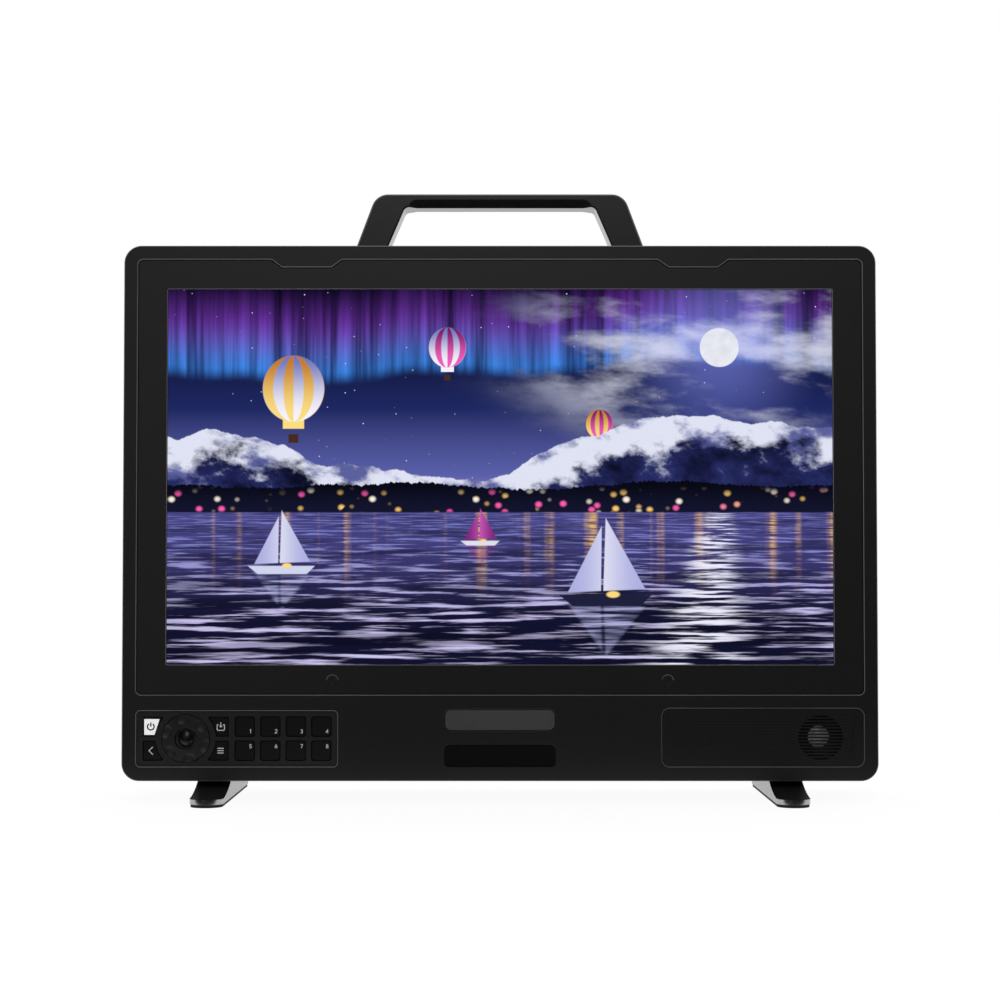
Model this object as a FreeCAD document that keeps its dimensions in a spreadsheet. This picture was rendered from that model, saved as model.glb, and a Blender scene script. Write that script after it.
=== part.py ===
import FreeCAD, Part
import math
import os
import re

import Sketcher
from FreeCAD import Rotation, Vector

# Production monitor. +X is to the right, +Y runs from the screen to the back, +Z is up.
# The feet stand on z = 0 and the origin is under the middle of their footprint.

SIZES = {
    # housing
    "body_width": 432.3,  # housing, side to side
    "body_height": 307.0,  # housing, underside to top
    "body_depth": 86.0,  # housing, front face to back
    "body_corner": 10.0,  # radius of the housing's four corners
    "chassis_depth": 58.0,  # front chassis, front face to the seam with the rear cover
    "wall": 3.0,  # side walls of the chassis
    "face_thickness": 6.0,  # front wall of the chassis
    "ground_clearance": 12.3,  # underside of the housing above the ground
    "edge_break": 0.5,  # chamfer on the milled front edges
    "inset_gap": 0.25,  # gap round a plate that is let into the front
    "hole_clearance": 0.1,  # screw shank to its hole
    "thread_run_out": 0.6,  # blind hole past the end of its screw
    # screen
    "frame_margin": 8.0,  # housing edge to screen frame, top and sides
    "chin_height": 49.2,  # housing underside to screen frame
    "frame_border": 17.1,  # width of the screen frame's sides
    "frame_corner": 3.0,  # corner radius of the screen frame
    "frame_seat": 3.0,  # depth of the recess that holds the frame
    "frame_thickness": 2.7,  # screen frame plate
    "frame_break": 0.4,  # chamfer on the frame's front edges
    "view_corner": 0.8,  # corner radius of the screen opening
    "tab_spacing": 222.4,  # between the middles of the two tabs above the screen
    "tab_root": 40.6,  # tab width at its root
    "tab_tip": 28.5,  # tab width at its tip
    "tab_drop": 4.45,  # tab height
    "tab_corner": 2.0,  # radius at the bends of a tab
    "frame_screw_spacing": 191.8,  # between the two screws under the screen
    "frame_screw_level": 8.05,  # frame's lower edge to the screws
    "frame_screw_head": 3.05,  # head radius
    "frame_screw_sink": 0.4,  # frame face to screw head
    "frame_screw_head_height": 1.3,  # head height
    "frame_screw_socket": 1.9,  # radius of the round recess in the head
    "frame_screw_socket_depth": 0.8,  # depth of that recess
    "glass_lap": 3.5,  # glass behind each side of the frame
    "glass_gap": 0.5,  # glass edge to the chassis window
    "glass_thickness": 1.6,  # cover glass
    "lcd_thickness": 1.4,  # liquid crystal cell
    # backlight
    "tray_rim": 4.0,  # tray side wall
    "tray_depth": 18.0,  # tray, front rim to back
    "tray_floor": 2.0,  # tray back wall
    "diffuser_ledge": 3.5,  # ledge in the tray that carries the diffuser
    "diffuser_thickness": 2.5,  # diffuser sheet
    "diffuser_gap": 0.4,  # diffuser edge to the tray
    "light_board_thickness": 1.2,  # board with the light bars
    "light_bar_width": 8.0,  # one light bar
    "light_bar_height": 1.5,  # light bar on its board
    "light_bar_count": 8,  # light bars
    "light_bar_pitch": 25.0,  # from one light bar to the next
    "ear_spacing": 300.0,  # between the tray's left and right ears
    "ear_width": 14.0,  # ear, side to side
    "ear_reach": 7.5,  # ear past the tray
    "ear_thickness": 1.5,  # ear sheet
    "carrier_thickness": 1.5,  # sheet that carries the boards
    "carrier_inset": 10.0,  # carrier edge inside the tray edge
    "cable_slot_width": 60.0,  # slot in the carrier for the display cable
    "cable_slot_height": 12.0,  # that slot's height
    "carrier_screw_inset": 14.0,  # carrier corner to its screws
    # controls
    "panel_margin": 8.3,  # housing edge to the control pocket and the grille seat
    "pocket_width": 114.9,  # control pocket, side to side
    "pocket_height": 31.6,  # control pocket height
    "panel_corner": 2.3,  # corner radius of the control pocket
    "panel_recess": 1.2,  # front face to control panel
    "panel_thickness": 2.0,  # control panel plate
    "panel_ledge": 0.9,  # ledge that the control panel sits on
    "dial_offset": 28.2,  # pocket's left side to the middle of the wheel
    "dial_radius": 13.65,  # jog wheel
    "dial_gap": 0.3,  # wheel to its hole in the panel
    "dial_proud": 0.7,  # wheel in front of the panel
    "dial_rim": 0.5,  # chamfer on the wheel's rim
    "dial_dish": 0.7,  # fall of the wheel's face towards its middle
    "cup_radius": 6.3,  # hole in the middle of the wheel
    "cup_rim": 0.6,  # chamfer round that hole
    "dial_flange": 0.8,  # flange behind the panel, past the wheel
    "dial_flange_thickness": 1.0,  # that flange
    "sleeve_wall": 1.5,  # wheel's bearing sleeve
    "running_clearance": 0.05,  # radial play of a turning fit
    "flange_gap": 0.15,  # play behind the control panel
    "scallop_count": 6,  # finger scallops in the wheel
    "scallop_start": 40.0,  # first scallop, degrees from +X towards +Z
    "scallop_ring": 11.6,  # wheel axis to scallop middle
    "scallop_radius": 7.5,  # sphere that forms a scallop
    "scallop_depth": 1.25,  # scallop below the wheel's rim
    "key_size": 11.2,  # function button, across
    "key_pitch": 14.6,  # between function button columns
    "row_pitch": 13.7,  # between the two rows
    "key_offset": 33.75,  # wheel axis to the first button column
    "key_corner": 1.6,  # button corner radius
    "key_gap": 0.25,  # button to its hole in the panel
    "key_sink": 0.35,  # panel face to button face
    "key_break": 0.3,  # chamfer round a button's face
    "key_flange": 0.65,  # flange behind the panel, past the button
    "key_flange_thickness": 1.0,  # that flange
    "key_stem": 1.8,  # radius of the stem behind a button
    "key_stem_length": 2.8,  # that stem
    "key_travel": 0.8,  # how far a button goes in
    "side_key_reach": 24.3,  # wheel axis to the far side of the buttons beside it
    "side_key_size": 10.9,  # height of those buttons
    "side_key_arc": 17.5,  # radius of their hollow side, about the wheel axis
    "board_gap": 4.0,  # chassis front wall to the keypad board
    "board_thickness": 1.6,  # circuit boards
    "board_boss": 2.1,  # radius of the keypad board's bosses
    "board_boss_reach": 2.3,  # pocket side to boss middle
    "board_boss_spread": 18.0,  # between a side's two bosses
    "switch_gap": 0.15,  # pressed button to its switch
    "switch_size": 6.0,  # switch, across
    # joystick
    "nub_sink": 0.6,  # wheel face to the top of the nub
    "nub_radius": 4.2,  # nub cap
    "nub_cap": 2.2,  # nub cap, top to underside
    "nub_edge": 0.7,  # straight side of the nub cap
    "nub_stem": 1.5,  # nub stem radius
    "nub_click": 0.5,  # nub travel
    "nub_switch_gap": 0.4,  # pressed nub to its switch
    "sliding_clearance": 0.04,  # radial play of a sliding fit
    "pivot_depth": 5.4,  # panel face to the tilt axes
    "cradle_half": 1.5,  # cradle, half its length
    "cradle_wall": 1.1,  # cradle wall
    "ring_clearance": 0.45,  # between the tilting rings
    "ring_wall": 1.5,  # gimbal ring wall
    "ring_half": 1.2,  # gimbal ring, half its length
    "pivot_pin": 0.6,  # pivot pin radius
    "base_lip": 0.35,  # joystick base behind the wheel's lip
    "stem_tail": 1.6,  # nub stem behind the tilt axes
    # middle
    "tally_width": 63.2,  # tally window, side to side
    "tally_height": 12.15,  # tally window height
    "tally_corner": 3.6,  # tally window corner radius
    "tally_level": 34.7,  # housing underside to the middle of the tally window
    "tally_sink": 0.4,  # front face to tally lens
    "tally_flange": 2.0,  # lens flange behind the wall
    "tally_flange_thickness": 1.5,  # that flange
    "tally_post": 2.5,  # post between lens and tally board
    "tally_post_height": 3.0,  # that post's height
    "plate_width": 63.4,  # plain plate under the tally, side to side
    "plate_height": 12.7,  # plain plate height
    "plate_corner": 3.0,  # plain plate corner radius
    "plate_level": 14.35,  # housing underside to the middle of the plate
    "plate_thickness": 0.9,  # plain plate
    "plate_sink": 0.2,  # front face to plate
    # sound
    "grille_width": 115.2,  # grille seat, side to side
    "grille_height": 33.0,  # grille seat height
    "grille_corner": 4.4,  # grille corner radius
    "grille_thickness": 2.0,  # grille plate
    "grille_sink": 0.4,  # front face to grille
    "grille_ledge": 3.0,  # ledge that the grille sits on
    "slat_pitch": 1.85,  # from one slot to the next
    "slot_height": 0.95,  # height of a slot
    "slot_count": 14,  # slots
    "slot_end": 5.5,  # slot end to the grille's side
    "slat_depth": 0.5,  # depth of the slots; they go through in front of the speaker only
    "speaker_offset": 24.7,  # grille's right side to the speaker axis
    "speaker_radius": 15.0,  # speaker flange
    "speaker_flange": 1.5,  # flange thickness
    "basket_wall": 1.6,  # basket wall
    "basket_depth": 8.0,  # basket behind its flange
    "magnet_radius": 9.5,  # speaker magnet
    "magnet_length": 7.0,  # that magnet
    "cone_radius": 12.8,  # speaker cone
    "cone_throat": 6.0,  # dust dome radius
    "cone_depth": 3.5,  # cone depth
    "cone_wall": 0.8,  # cone wall
    "coil_radius": 5.0,  # voice coil former, outside
    "coil_gap": 0.4,  # voice coil to the pole and the magnet
    "coil_length": 3.0,  # voice coil in the magnet
    "dome_height": 2.0,  # dust dome
    "cone_travel": 0.5,  # cone stroke each way
    # handle
    "handle_setback": 31.0,  # front face to handle
    "handle_depth": 22.0,  # handle, front to back
    "handle_height": 35.25,  # handle above the housing
    "handle_base": 172.3,  # handle, outside width where it stands on the housing
    "handle_top": 145.8,  # outside width at the top
    "grip_base": 135.6,  # width of the finger gap at the housing
    "grip_top": 111.8,  # width of the finger gap at the bar
    "bar_thickness": 7.65,  # bar of the handle
    "handle_corner": 10.0,  # outer corner radius
    "grip_corner": 3.3,  # inner corner radius
    "grip_chamfer": 4.5,  # chamfers along the underside of the bar
    "run_out": 5.5,  # corner radius where those chamfers run out
    "handle_break": 0.9,  # chamfer on the handle's edges
    "handle_screw_spacing": 10.0,  # between the two screws of one leg
    "handle_screw_span": 152.0,  # between the legs' screws
    "handle_screw_length": 12.0,  # screw inside the leg
    # feet
    "foot_length": 138.0,  # foot, toe to heel
    "toe_reach": 30.0,  # toe in front of the housing
    "foot_width": 19.1,  # foot, side to side
    "foot_spacing": 329.1,  # between the feet's middles
    "pad_thickness": 1.7,  # rubber pad
    "pad_inset": 0.5,  # pad edge inside the foot's edge
    "toe_thickness": 2.8,  # metal at the toe
    "toe_flat": 4.0,  # flat of the toe before the sweep
    "sweep_radius": 110.0,  # sweep from toe to housing
    "foot_screw_setback": 23.0,  # front face to the first foot screw
    "foot_screw_spacing": 26.0,  # between a foot's two screws
    "foot_screw_length": 7.0,  # screw inside the housing
    # screws
    "small_screw": 1.45,  # shank radius of the small screws
    "small_head": 2.75,  # their head radius
    "small_head_height": 1.8,  # their head height
    "small_grip": 2.2,  # frame screw inside the chassis
    "sheet_grip": 1.5,  # sheet screw past the sheet it holds
    "big_screw": 2.0,  # shank radius of the handle and foot screws
    "big_head": 3.5,  # their head radius
    "big_head_height": 2.5,  # their head height
    "head_clearance": 0.3,  # screw head to its counterbore
    # back
    "rear_wall": 2.5,  # rear cover wall
    "rear_chamfer": 7.0,  # chamfer round the back
    "boss_width": 8.0,  # bosses for the cover screws
    "boss_low": 46.0,  # housing underside to the lower cover screws
    "boss_middle": 160.0,  # housing underside to the middle cover screws
    "boss_high": 294.0,  # housing underside to the upper cover screws
    "cover_screw_grip": 10.0,  # cover screw inside the chassis
    "counterbore_depth": 2.2,  # recess of the cover screws' heads
    "mount_spacing": 100.0,  # square of the screen-mount holes
    "mount_level": 158.0,  # housing underside to the middle of that square
    "mount_hole": 1.65,  # radius of the tapped holes
    "mount_boss": 6.0,  # radius of their bosses
    "mount_boss_length": 9.0,  # length of their bosses
    "mount_hole_depth": 9.0,  # depth of the tapped holes
    "mount_pad": 126.0,  # raised square pad round those holes
    "mount_pad_height": 1.2,  # that pad's height
    "vent_length": 66.0,  # vent slot, end to end
    "vent_radius": 1.6,  # half the height of a vent slot
    "vent_pitch": 7.0,  # from one vent slot to the next
    "vent_count": 9,  # slots in each vent
    "vent_level": 240.0,  # housing underside to the middle of the vents
    "vent_setback": 91.15,  # housing side to the middle of its vent
    "fan_size": 60.0,  # fan, across
    "fan_depth": 15.0,  # fan, front to back
    "fan_duct": 28.3,  # duct radius
    "fan_hub": 12.0,  # hub radius
    "fan_spoke": 2.5,  # width of the four spokes
    "fan_spoke_depth": 2.5,  # depth of the spokes
    "fan_shaft": 1.5,  # shaft radius
    "fan_corner": 4.0,  # corner radius of the fan frame
    "blade_count": 7,  # fan blades
    "blade_tip": 26.0,  # axis to blade tip
    "blade_thickness": 1.2,  # blade
    "blade_root_rise": 6.0,  # turn of a blade at the hub
    "blade_tip_rise": 15.0,  # turn of a blade at its tip
    "rotor_gap": 0.8,  # rotor to the fan's faces and spokes
    "shaft_seat": 9.0,  # shaft inside the rotor
    # boards
    "standoff_height": 7.0,  # standoffs under the boards
    "standoff_radius": 3.0,  # standoffs
    "standoff_inset": 6.0,  # board corner to standoff
    "main_width": 190.0,  # main board, side to side
    "main_height": 110.0,  # main board height
    "main_shift": -40.0,  # main board's middle from the housing's
    "main_level": 200.0,  # housing underside to the middle of the boards
    "chip_size": 40.0,  # processor package
    "chip_height": 3.0,  # that package
    "sink_width": 84.0,  # heat sink, side to side
    "sink_height": 70.0,  # heat sink height
    "sink_base": 4.0,  # heat sink base
    "fin_depth": 16.0,  # fins behind the base
    "fin_gap": 5.0,  # between two fins
    "fin_pitch": 8.0,  # from one fin to the next
    "fin_count": 10,  # gaps between fins
    "power_width": 90.0,  # power board, side to side
    "power_shift": 115.0,  # power board's middle from the housing's
    "coil_block": 26.0,  # transformer, across
    "coil_block_height": 18.0,  # transformer
    "capacitor_radius": 6.0,  # capacitor
    "capacitor_height": 20.0,  # capacitor height
    # connectors
    "port_width": 236.0,  # connector window, side to side
    "port_height": 38.0,  # connector window height
    "port_level": 44.0,  # housing underside to the middle of the connectors
    "port_corner": 3.0,  # connector window corner radius
    "port_lap": 5.0,  # connector panel behind each side of the window
    "port_panel": 2.0,  # connector panel
    "port_gap": 0.2,  # connector to its hole in the panel
    "port_rib": 6.0,  # rails of the cover above and below the connector panel
    "coax_count": 4,  # coaxial jacks
    "coax_start": -52.0,  # first coaxial jack from the middle
    "coax_pitch": 24.0,  # between coaxial jacks
    "coax_nut": 8.5,  # corner radius of their hexagon nuts
    "coax_nut_height": 2.5,  # those nuts
    "coax_barrel": 4.8,  # barrel radius
    "coax_length": 13.0,  # barrel behind the panel's face
    "coax_bore": 4.1,  # bore of the barrel
    "coax_core": 2.4,  # insulator in the bore
    "coax_core_sink": 1.5,  # mouth of the barrel to the insulator's end
    "coax_depth": 10.0,  # depth of the bore
    "coax_lug": 1.0,  # bayonet lug radius
    "coax_lug_reach": 1.0,  # bayonet lug past the barrel
    "coax_body": 6.3,  # body inside the housing
    "coax_body_length": 14.0,  # that body
    "inlet_shift": -92.0,  # power inlet from the middle
    "inlet_flange_width": 26.0,  # power inlet flange, side to side
    "inlet_flange_height": 31.0,  # that flange's height
    "inlet_flange_thickness": 2.0,  # that flange
    "inlet_radius": 11.0,  # inlet body
    "inlet_length": 20.0,  # inlet body inside the housing
    "inlet_bore": 9.4,  # inlet opening
    "inlet_depth": 15.0,  # depth of the opening
    "pin_radius": 1.15,  # power pin
    "pin_length": 11.0,  # power pin in the opening
    "pin_ring": 5.6,  # inlet axis to the pins
    "pin_count": 4,  # power pins
    "video_shift": 47.0,  # video socket from the middle
    "video_width": 15.6,  # video socket, side to side
    "video_height": 6.6,  # video socket height
    "video_bevel": 2.0,  # bevelled lower corners
    "net_shift": 70.0,  # network socket from the middle
    "net_width": 15.8,  # network socket, side to side
    "net_height": 13.2,  # network socket height
    "net_mouth_width": 11.8,  # plug opening, side to side
    "net_mouth_height": 8.2,  # plug opening height
    "net_latch_width": 6.2,  # notch for the plug's latch
    "net_latch_height": 1.6,  # that notch's height
    "data_shift": 91.0,  # data socket from the middle
    "data_width": 14.4,  # data socket, side to side
    "data_height": 7.0,  # data socket height
    "socket_wall": 0.8,  # wall of the metal sockets
    "socket_tongue": 1.4,  # contact tongue in a socket
    "socket_depth": 11.0,  # depth of the sockets
    "socket_length": 15.0,  # sockets inside the housing
    "socket_proud": 0.6,  # sockets past the panel's face
    "jack_shift": 108.0,  # headphone jack from the middle
    "jack_radius": 4.0,  # headphone jack collar
    "jack_bore": 1.8,  # headphone jack bore
    "jack_depth": 14.0,  # depth of that bore
    "jack_length": 16.0,  # jack inside the housing
    "jack_proud": 1.5,  # collar past the panel's face
}

# Places and sizes that follow from the sheet: y levels count from the front, z levels from the ground.
DERIVED = {
    "front": "toe_reach - foot_length / 2",
    "split": "front + chassis_depth",
    "rear": "front + body_depth",
    "rear_inside": "rear - rear_wall",
    "base": "ground_clearance",
    "top": "base + body_height",
    "middle": "base + body_height / 2",
    "face_back": "front + face_thickness",
    "frame_width": "body_width - 2 * frame_margin",
    "frame_low": "base + chin_height",
    "frame_high": "top - frame_margin",
    "frame_height": "frame_high - frame_low",
    "screen_level": "(frame_low + frame_high) / 2",
    "view_width": "frame_width - 2 * frame_border",
    "view_height": "frame_height - 2 * frame_border",
    "seat": "front + frame_seat",
    "frame_front": "seat - frame_thickness",
    "frame_screw_z": "frame_low + frame_screw_level",
    "glass_width": "view_width + 2 * glass_lap",
    "glass_height": "view_height + 2 * glass_lap",
    "glass_back": "seat + glass_thickness",
    "lcd_back": "glass_back + lcd_thickness",
    "window_width": "glass_width + 2 * glass_gap",
    "window_height": "glass_height + 2 * glass_gap",
    "tray_width": "window_width + 2 * tray_rim",
    "tray_height": "window_height + 2 * tray_rim",
    "tray_back": "face_back + tray_depth",
    "tray_inside": "tray_back - tray_floor",
    "ledge_front": "face_back + diffuser_thickness + diffuser_gap",
    "well_width": "window_width - 2 * diffuser_ledge",
    "well_height": "window_height - 2 * diffuser_ledge",
    "carrier_width": "tray_width - 2 * carrier_inset",
    "carrier_height": "tray_height - 2 * carrier_inset",
    "carrier_back": "tray_back + carrier_thickness",
    "small_hole": "small_screw + hole_clearance",
    "big_hole": "big_screw + hole_clearance",
    "pocket_x": "panel_margin + pocket_width / 2 - body_width / 2",
    "pocket_z": "base + panel_margin + pocket_height / 2",
    "panel_front": "front + panel_recess",
    "panel_back": "panel_front + panel_thickness",
    "dial_x": "panel_margin + dial_offset - body_width / 2",
    "dial_front": "panel_front - dial_proud",
    "dial_flange_front": "panel_back + flange_gap",
    "dial_flange_back": "dial_flange_front + dial_flange_thickness",
    "dial_bore": "nest_radius + running_clearance",
    "dial_sleeve": "dial_bore + sleeve_wall",
    "dial_end": "board_front - flange_gap * 2",
    "key_front": "panel_front + key_sink",
    "key_flange_front": "panel_back + flange_gap",
    "key_flange_back": "key_flange_front + key_flange_thickness",
    "key_stem_end": "key_flange_back + key_stem_length",
    "side_key_near": "(row_pitch - side_key_size) / 2",
    "side_key_far": "(row_pitch + side_key_size) / 2",
    "board_front": "face_back + board_gap",
    "board_back": "board_front + board_thickness",
    "switch_front": "key_stem_end + key_travel + switch_gap",
    "pivot_y": "panel_front + pivot_depth",
    "cradle_bore": "nub_stem + sliding_clearance",
    "cradle_radius": "cradle_bore + cradle_wall",
    "ring_bore": "cradle_radius + ring_clearance",
    "ring_radius": "ring_bore + ring_wall",
    "nest_bore": "ring_radius + ring_clearance",
    "nest_radius": "nest_bore + ring_wall",
    "pivot_hole": "pivot_pin + running_clearance",
    "lip_back": "pivot_y - ring_half - ring_clearance - base_lip",
    "nest_front": "lip_back + base_lip",
    "nub_top": "dial_front + nub_sink",
    "nub_under": "nub_top + nub_cap",
    "tally_z": "base + tally_level",
    "tally_front": "front + tally_sink",
    "tally_flange_back": "face_back + tally_flange_thickness",
    "tally_board_front": "tally_flange_back + tally_post_height",
    "plate_z": "base + plate_level",
    "plate_front": "front + plate_sink",
    "plate_back": "plate_front + plate_thickness",
    "grille_x": "body_width / 2 - panel_margin - grille_width / 2",
    "grille_z": "base + panel_margin + grille_height / 2",
    "grille_front": "front + grille_sink",
    "grille_back": "grille_front + grille_thickness",
    "speaker_x": "body_width / 2 - panel_margin - speaker_offset",
    "speaker_flange_back": "face_back + speaker_flange",
    "basket_back": "speaker_flange_back + basket_depth",
    "cone_front": "face_back + cone_travel",
    "cone_back": "cone_front + cone_depth",
    "handle_front": "front + handle_setback",
    "handle_rear": "handle_front + handle_depth",
    "handle_middle": "handle_front + handle_depth / 2",
    "handle_high": "top + handle_height",
    "bar_low": "handle_high - bar_thickness",
    "foot_x": "foot_spacing / 2",
    "foot_half": "foot_length / 2",
    "nose": "foot_width / 2",
    "grip_run": "grip_top - grip_corner",
    "toe_top": "pad_thickness + toe_thickness",
    "foot_head_top": "pad_thickness + big_head_height + head_clearance",
    "foot_screw_first": "front + foot_screw_setback",
    "foot_screw_second": "foot_screw_first + foot_screw_spacing",
    "boss_x": "body_width / 2 - rear_chamfer - boss_width / 2",
    "boss_inner": "boss_x - boss_width / 2",
    "mount_z": "base + mount_level",
    "mount_face": "rear + mount_pad_height",
    "vent_z": "base + vent_level",
    "vent_x": "body_width / 2 - vent_setback",
    "fan_front": "rear_inside - fan_depth",
    "spoke_front": "rear_inside - fan_spoke_depth",
    "rotor_front": "fan_front + rotor_gap",
    "rotor_back": "spoke_front - rotor_gap",
    "board_level": "base + main_level",
    "main_front": "carrier_back + standoff_height",
    "main_back": "main_front + board_thickness",
    "chip_back": "main_back + chip_height",
    "sink_back": "chip_back + sink_base",
    "port_z": "base + port_level",
    "port_face": "rear_inside",
    "port_inside": "port_face - port_panel",
    "socket_end": "port_face + socket_proud",
    "socket_front": "port_inside - socket_length",
}

FUNCTIONS = ("sqrt", "cos", "sin", "deg")

doc = FreeCAD.newDocument("production_monitor")
sheet = doc.addObject("Spreadsheet::Sheet", "Dims")
for row, (name, size) in enumerate(SIZES.items(), 1):
    sheet.set(f"A{row}", name)
    sheet.set(f"B{row}", str(size))
    sheet.setAlias(f"B{row}", name)
doc.recompute()

PARTS = {}


def formula(text):
    """Spells out a formula of size names as an expression on the sheet's cells."""

    def spell(match):
        word = match.group(0)
        if word in FUNCTIONS:
            return word
        if word in DERIVED:
            return f"({formula(DERIVED[word])})"
        return f"Dims.{word}"

    return re.sub(r"[a-z][a-z_]*", spell, str(text))


def value(text):
    """The number that a formula gives now."""
    return float(sheet.evalExpression(formula(text)))


class Outline:
    """A sketch on one of a body's origin planes, with every size tied to the sheet."""

    def __init__(self, body, plane, level, origin=("0", "0")):
        self.plane = plane
        self.level = level
        self.sketch = body.newObject("Sketcher::SketchObject", f"{body.Label}_sketch")
        planes = {feature.Role: feature for feature in body.Origin.OriginFeatures}
        self.sketch.AttachmentSupport = [(planes[f"{plane}_Plane"], "")]
        self.sketch.MapMode = "FlatFace"
        lift = f"-({level})" if plane == "XZ" else level
        for axis, text in zip("xyz", (*origin, lift)):
            self.sketch.setExpression(f"AttachmentOffset.Base.{axis}", formula(text))

    def fix(self, kind, *where, size=None):
        """Adds a constraint; a size is a formula that goes on driving it."""
        if size is None:
            self.sketch.addConstraint(Sketcher.Constraint(kind, *where))
            return
        index = self.sketch.addConstraint(Sketcher.Constraint(kind, *where, value(size)))
        self.sketch.setExpression(f"Constraints[{index}]", formula(size))

    def pin(self, geometry, point, u, v):
        """Holds a point of the sketch at (u, v)."""
        self.fix("DistanceX", -1, 1, geometry, point, size=u)
        self.fix("DistanceY", -1, 1, geometry, point, size=v)

    def line(self, start, end):
        return self.sketch.addGeometry(Part.LineSegment(start, end), False)

    def arc(self, centre, radius, start, end):
        """Arc about a centre, counter-clockwise from one point to another."""
        circle = Part.Circle(centre, Vector(0, 0, 1), radius)
        first = math.atan2(start.y - centre.y, start.x - centre.x)
        last = math.atan2(end.y - centre.y, end.x - centre.x)
        if last <= first:
            last += 2 * math.pi
        return self.sketch.addGeometry(Part.ArcOfCircle(circle, first, last), False)

    def circle(self, u, v, radius):
        centre = Vector(value(u), value(v), 0)
        circle = Part.Circle(centre, Vector(0, 0, 1), value(radius))
        ring = self.sketch.addGeometry(circle, False)
        self.fix("Radius", ring, size=radius)
        self.pin(ring, 3, u, v)
        return self

    def path(self, *corners):
        """Closed run of straight sides; a corner written (u, v, radius) is rounded."""
        count = len(corners)
        spots = [Vector(value(corner[0]), value(corner[1]), 0) for corner in corners]
        radii = [corner[2] if len(corner) > 2 else None for corner in corners]
        ways = [(spots[(i + 1) % count] - spots[i]).normalize() for i in range(count)]
        trims = []
        for i in range(count):
            bend = ways[i - 1].getAngle(ways[i])
            trims.append(value(radii[i]) * math.tan(bend / 2) if radii[i] else 0.0)
        lines = []
        for i in range(count):
            after = (i + 1) % count
            start = spots[i] + ways[i] * trims[i]
            lines.append(self.line(start, spots[after] - ways[i] * trims[after]))
        for i, corner in enumerate(corners):
            if radii[i]:
                touch = (spots[i] - ways[i - 1] * trims[i], spots[i] + ways[i] * trims[i])
                self.bend(lines[i - 1], lines[i], spots[i], ways[i - 1], touch, corner)
            else:
                self.fix("Coincident", lines[i - 1], 2, lines[i], 1)
                self.pin(lines[i], 1, corner[0], corner[1])
        return self

    def bend(self, before, after, spot, way, touch, corner):
        """Rounds the corner between two sides; the sharp corner stays as a construction point."""
        u, v, radius = corner
        left = way.cross(touch[1] - spot).z > 0
        across = Vector(-way.y, way.x, 0) * (1 if left else -1)
        centre = touch[0] + across * value(radius)
        ends = touch if left else (touch[1], touch[0])
        arc = self.arc(centre, value(radius), *ends)
        first, last = (1, 2) if left else (2, 1)
        self.fix("Tangent", before, 2, arc, first)
        self.fix("Tangent", arc, last, after, 1)
        self.fix("Radius", arc, size=radius)
        point = self.sketch.addGeometry(Part.Point(spot), True)
        self.fix("PointOnObject", point, 1, before)
        self.fix("PointOnObject", point, 1, after)
        self.pin(point, 1, u, v)

    def rectangle(self, u, v, width, height, *radius):
        """Rectangle about (u, v), with rounded corners if a radius is given."""
        left, right = f"{u} - ({width}) / 2", f"{u} + ({width}) / 2"
        low, high = f"{v} - ({height}) / 2", f"{v} + ({height}) / 2"
        corners = [(left, low), (right, low), (right, high), (left, high)]
        return self.path(*[(*corner, *radius) for corner in corners])

    def slot(self, start, end, radius):
        """Slot with round ends about two points, the first one left of or below the other."""
        reach = value(radius)
        spots = [Vector(value(u), value(v), 0) for u, v in (start, end)]
        way = (spots[1] - spots[0]).normalize()
        side = Vector(-way.y, way.x, 0) * reach
        near = self.arc(spots[0], reach, spots[0] + side, spots[0] - side)
        far = self.arc(spots[1], reach, spots[1] - side, spots[1] + side)
        right = self.line(spots[0] - side, spots[1] - side)
        left = self.line(spots[1] + side, spots[0] + side)
        for first, leave, second, join in ((near, 2, right, 1), (right, 2, far, 1),
                                           (far, 2, left, 1), (left, 2, near, 1)):
            self.fix("Tangent", first, leave, second, join)
        for bow, spot in ((near, start), (far, end)):
            self.pin(bow, 3, *spot)
        self.fix("Radius", near, size=radius)
        return self

    def hollow_side_key(self, side, row_side, spread):
        """Button outline beside the wheel: three straight sides and one side hollowed about its axis."""
        reach = f"dial_x + {side} * (side_key_reach + {spread})"
        near = f"pocket_z + {row_side} * (side_key_near - ({spread}))"
        far = f"pocket_z + {row_side} * (side_key_far + {spread})"
        radius = f"(side_key_arc - ({spread}))"
        centre = Vector(value("dial_x"), value("pocket_z"), 0)
        ends = []
        for level in (near, far):
            drop = value(level) - centre.y
            ends.append(centre + Vector(side * math.sqrt(value(radius) ** 2 - drop ** 2), drop, 0))
        outer = [Vector(value(reach), value(level), 0) for level in (near, far)]
        low = self.line(ends[0], outer[0])
        wall = self.line(outer[0], outer[1])
        high = self.line(outer[1], ends[1])
        turn = side * row_side > 0
        arc = self.arc(centre, value(radius), *(ends if turn else ends[::-1]))
        first, last = (1, 2) if turn else (2, 1)
        for one, leave, other, join in ((low, 2, wall, 1), (wall, 2, high, 1),
                                        (high, 2, arc, last), (arc, first, low, 1)):
            self.fix("Coincident", one, leave, other, join)
        self.fix("Horizontal", low)
        self.fix("Horizontal", high)
        self.pin(arc, 3, "dial_x", "pocket_z")
        self.fix("Radius", arc, size=radius)
        self.pin(wall, 1, reach, near)
        self.pin(wall, 2, reach, far)
        return self


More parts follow.
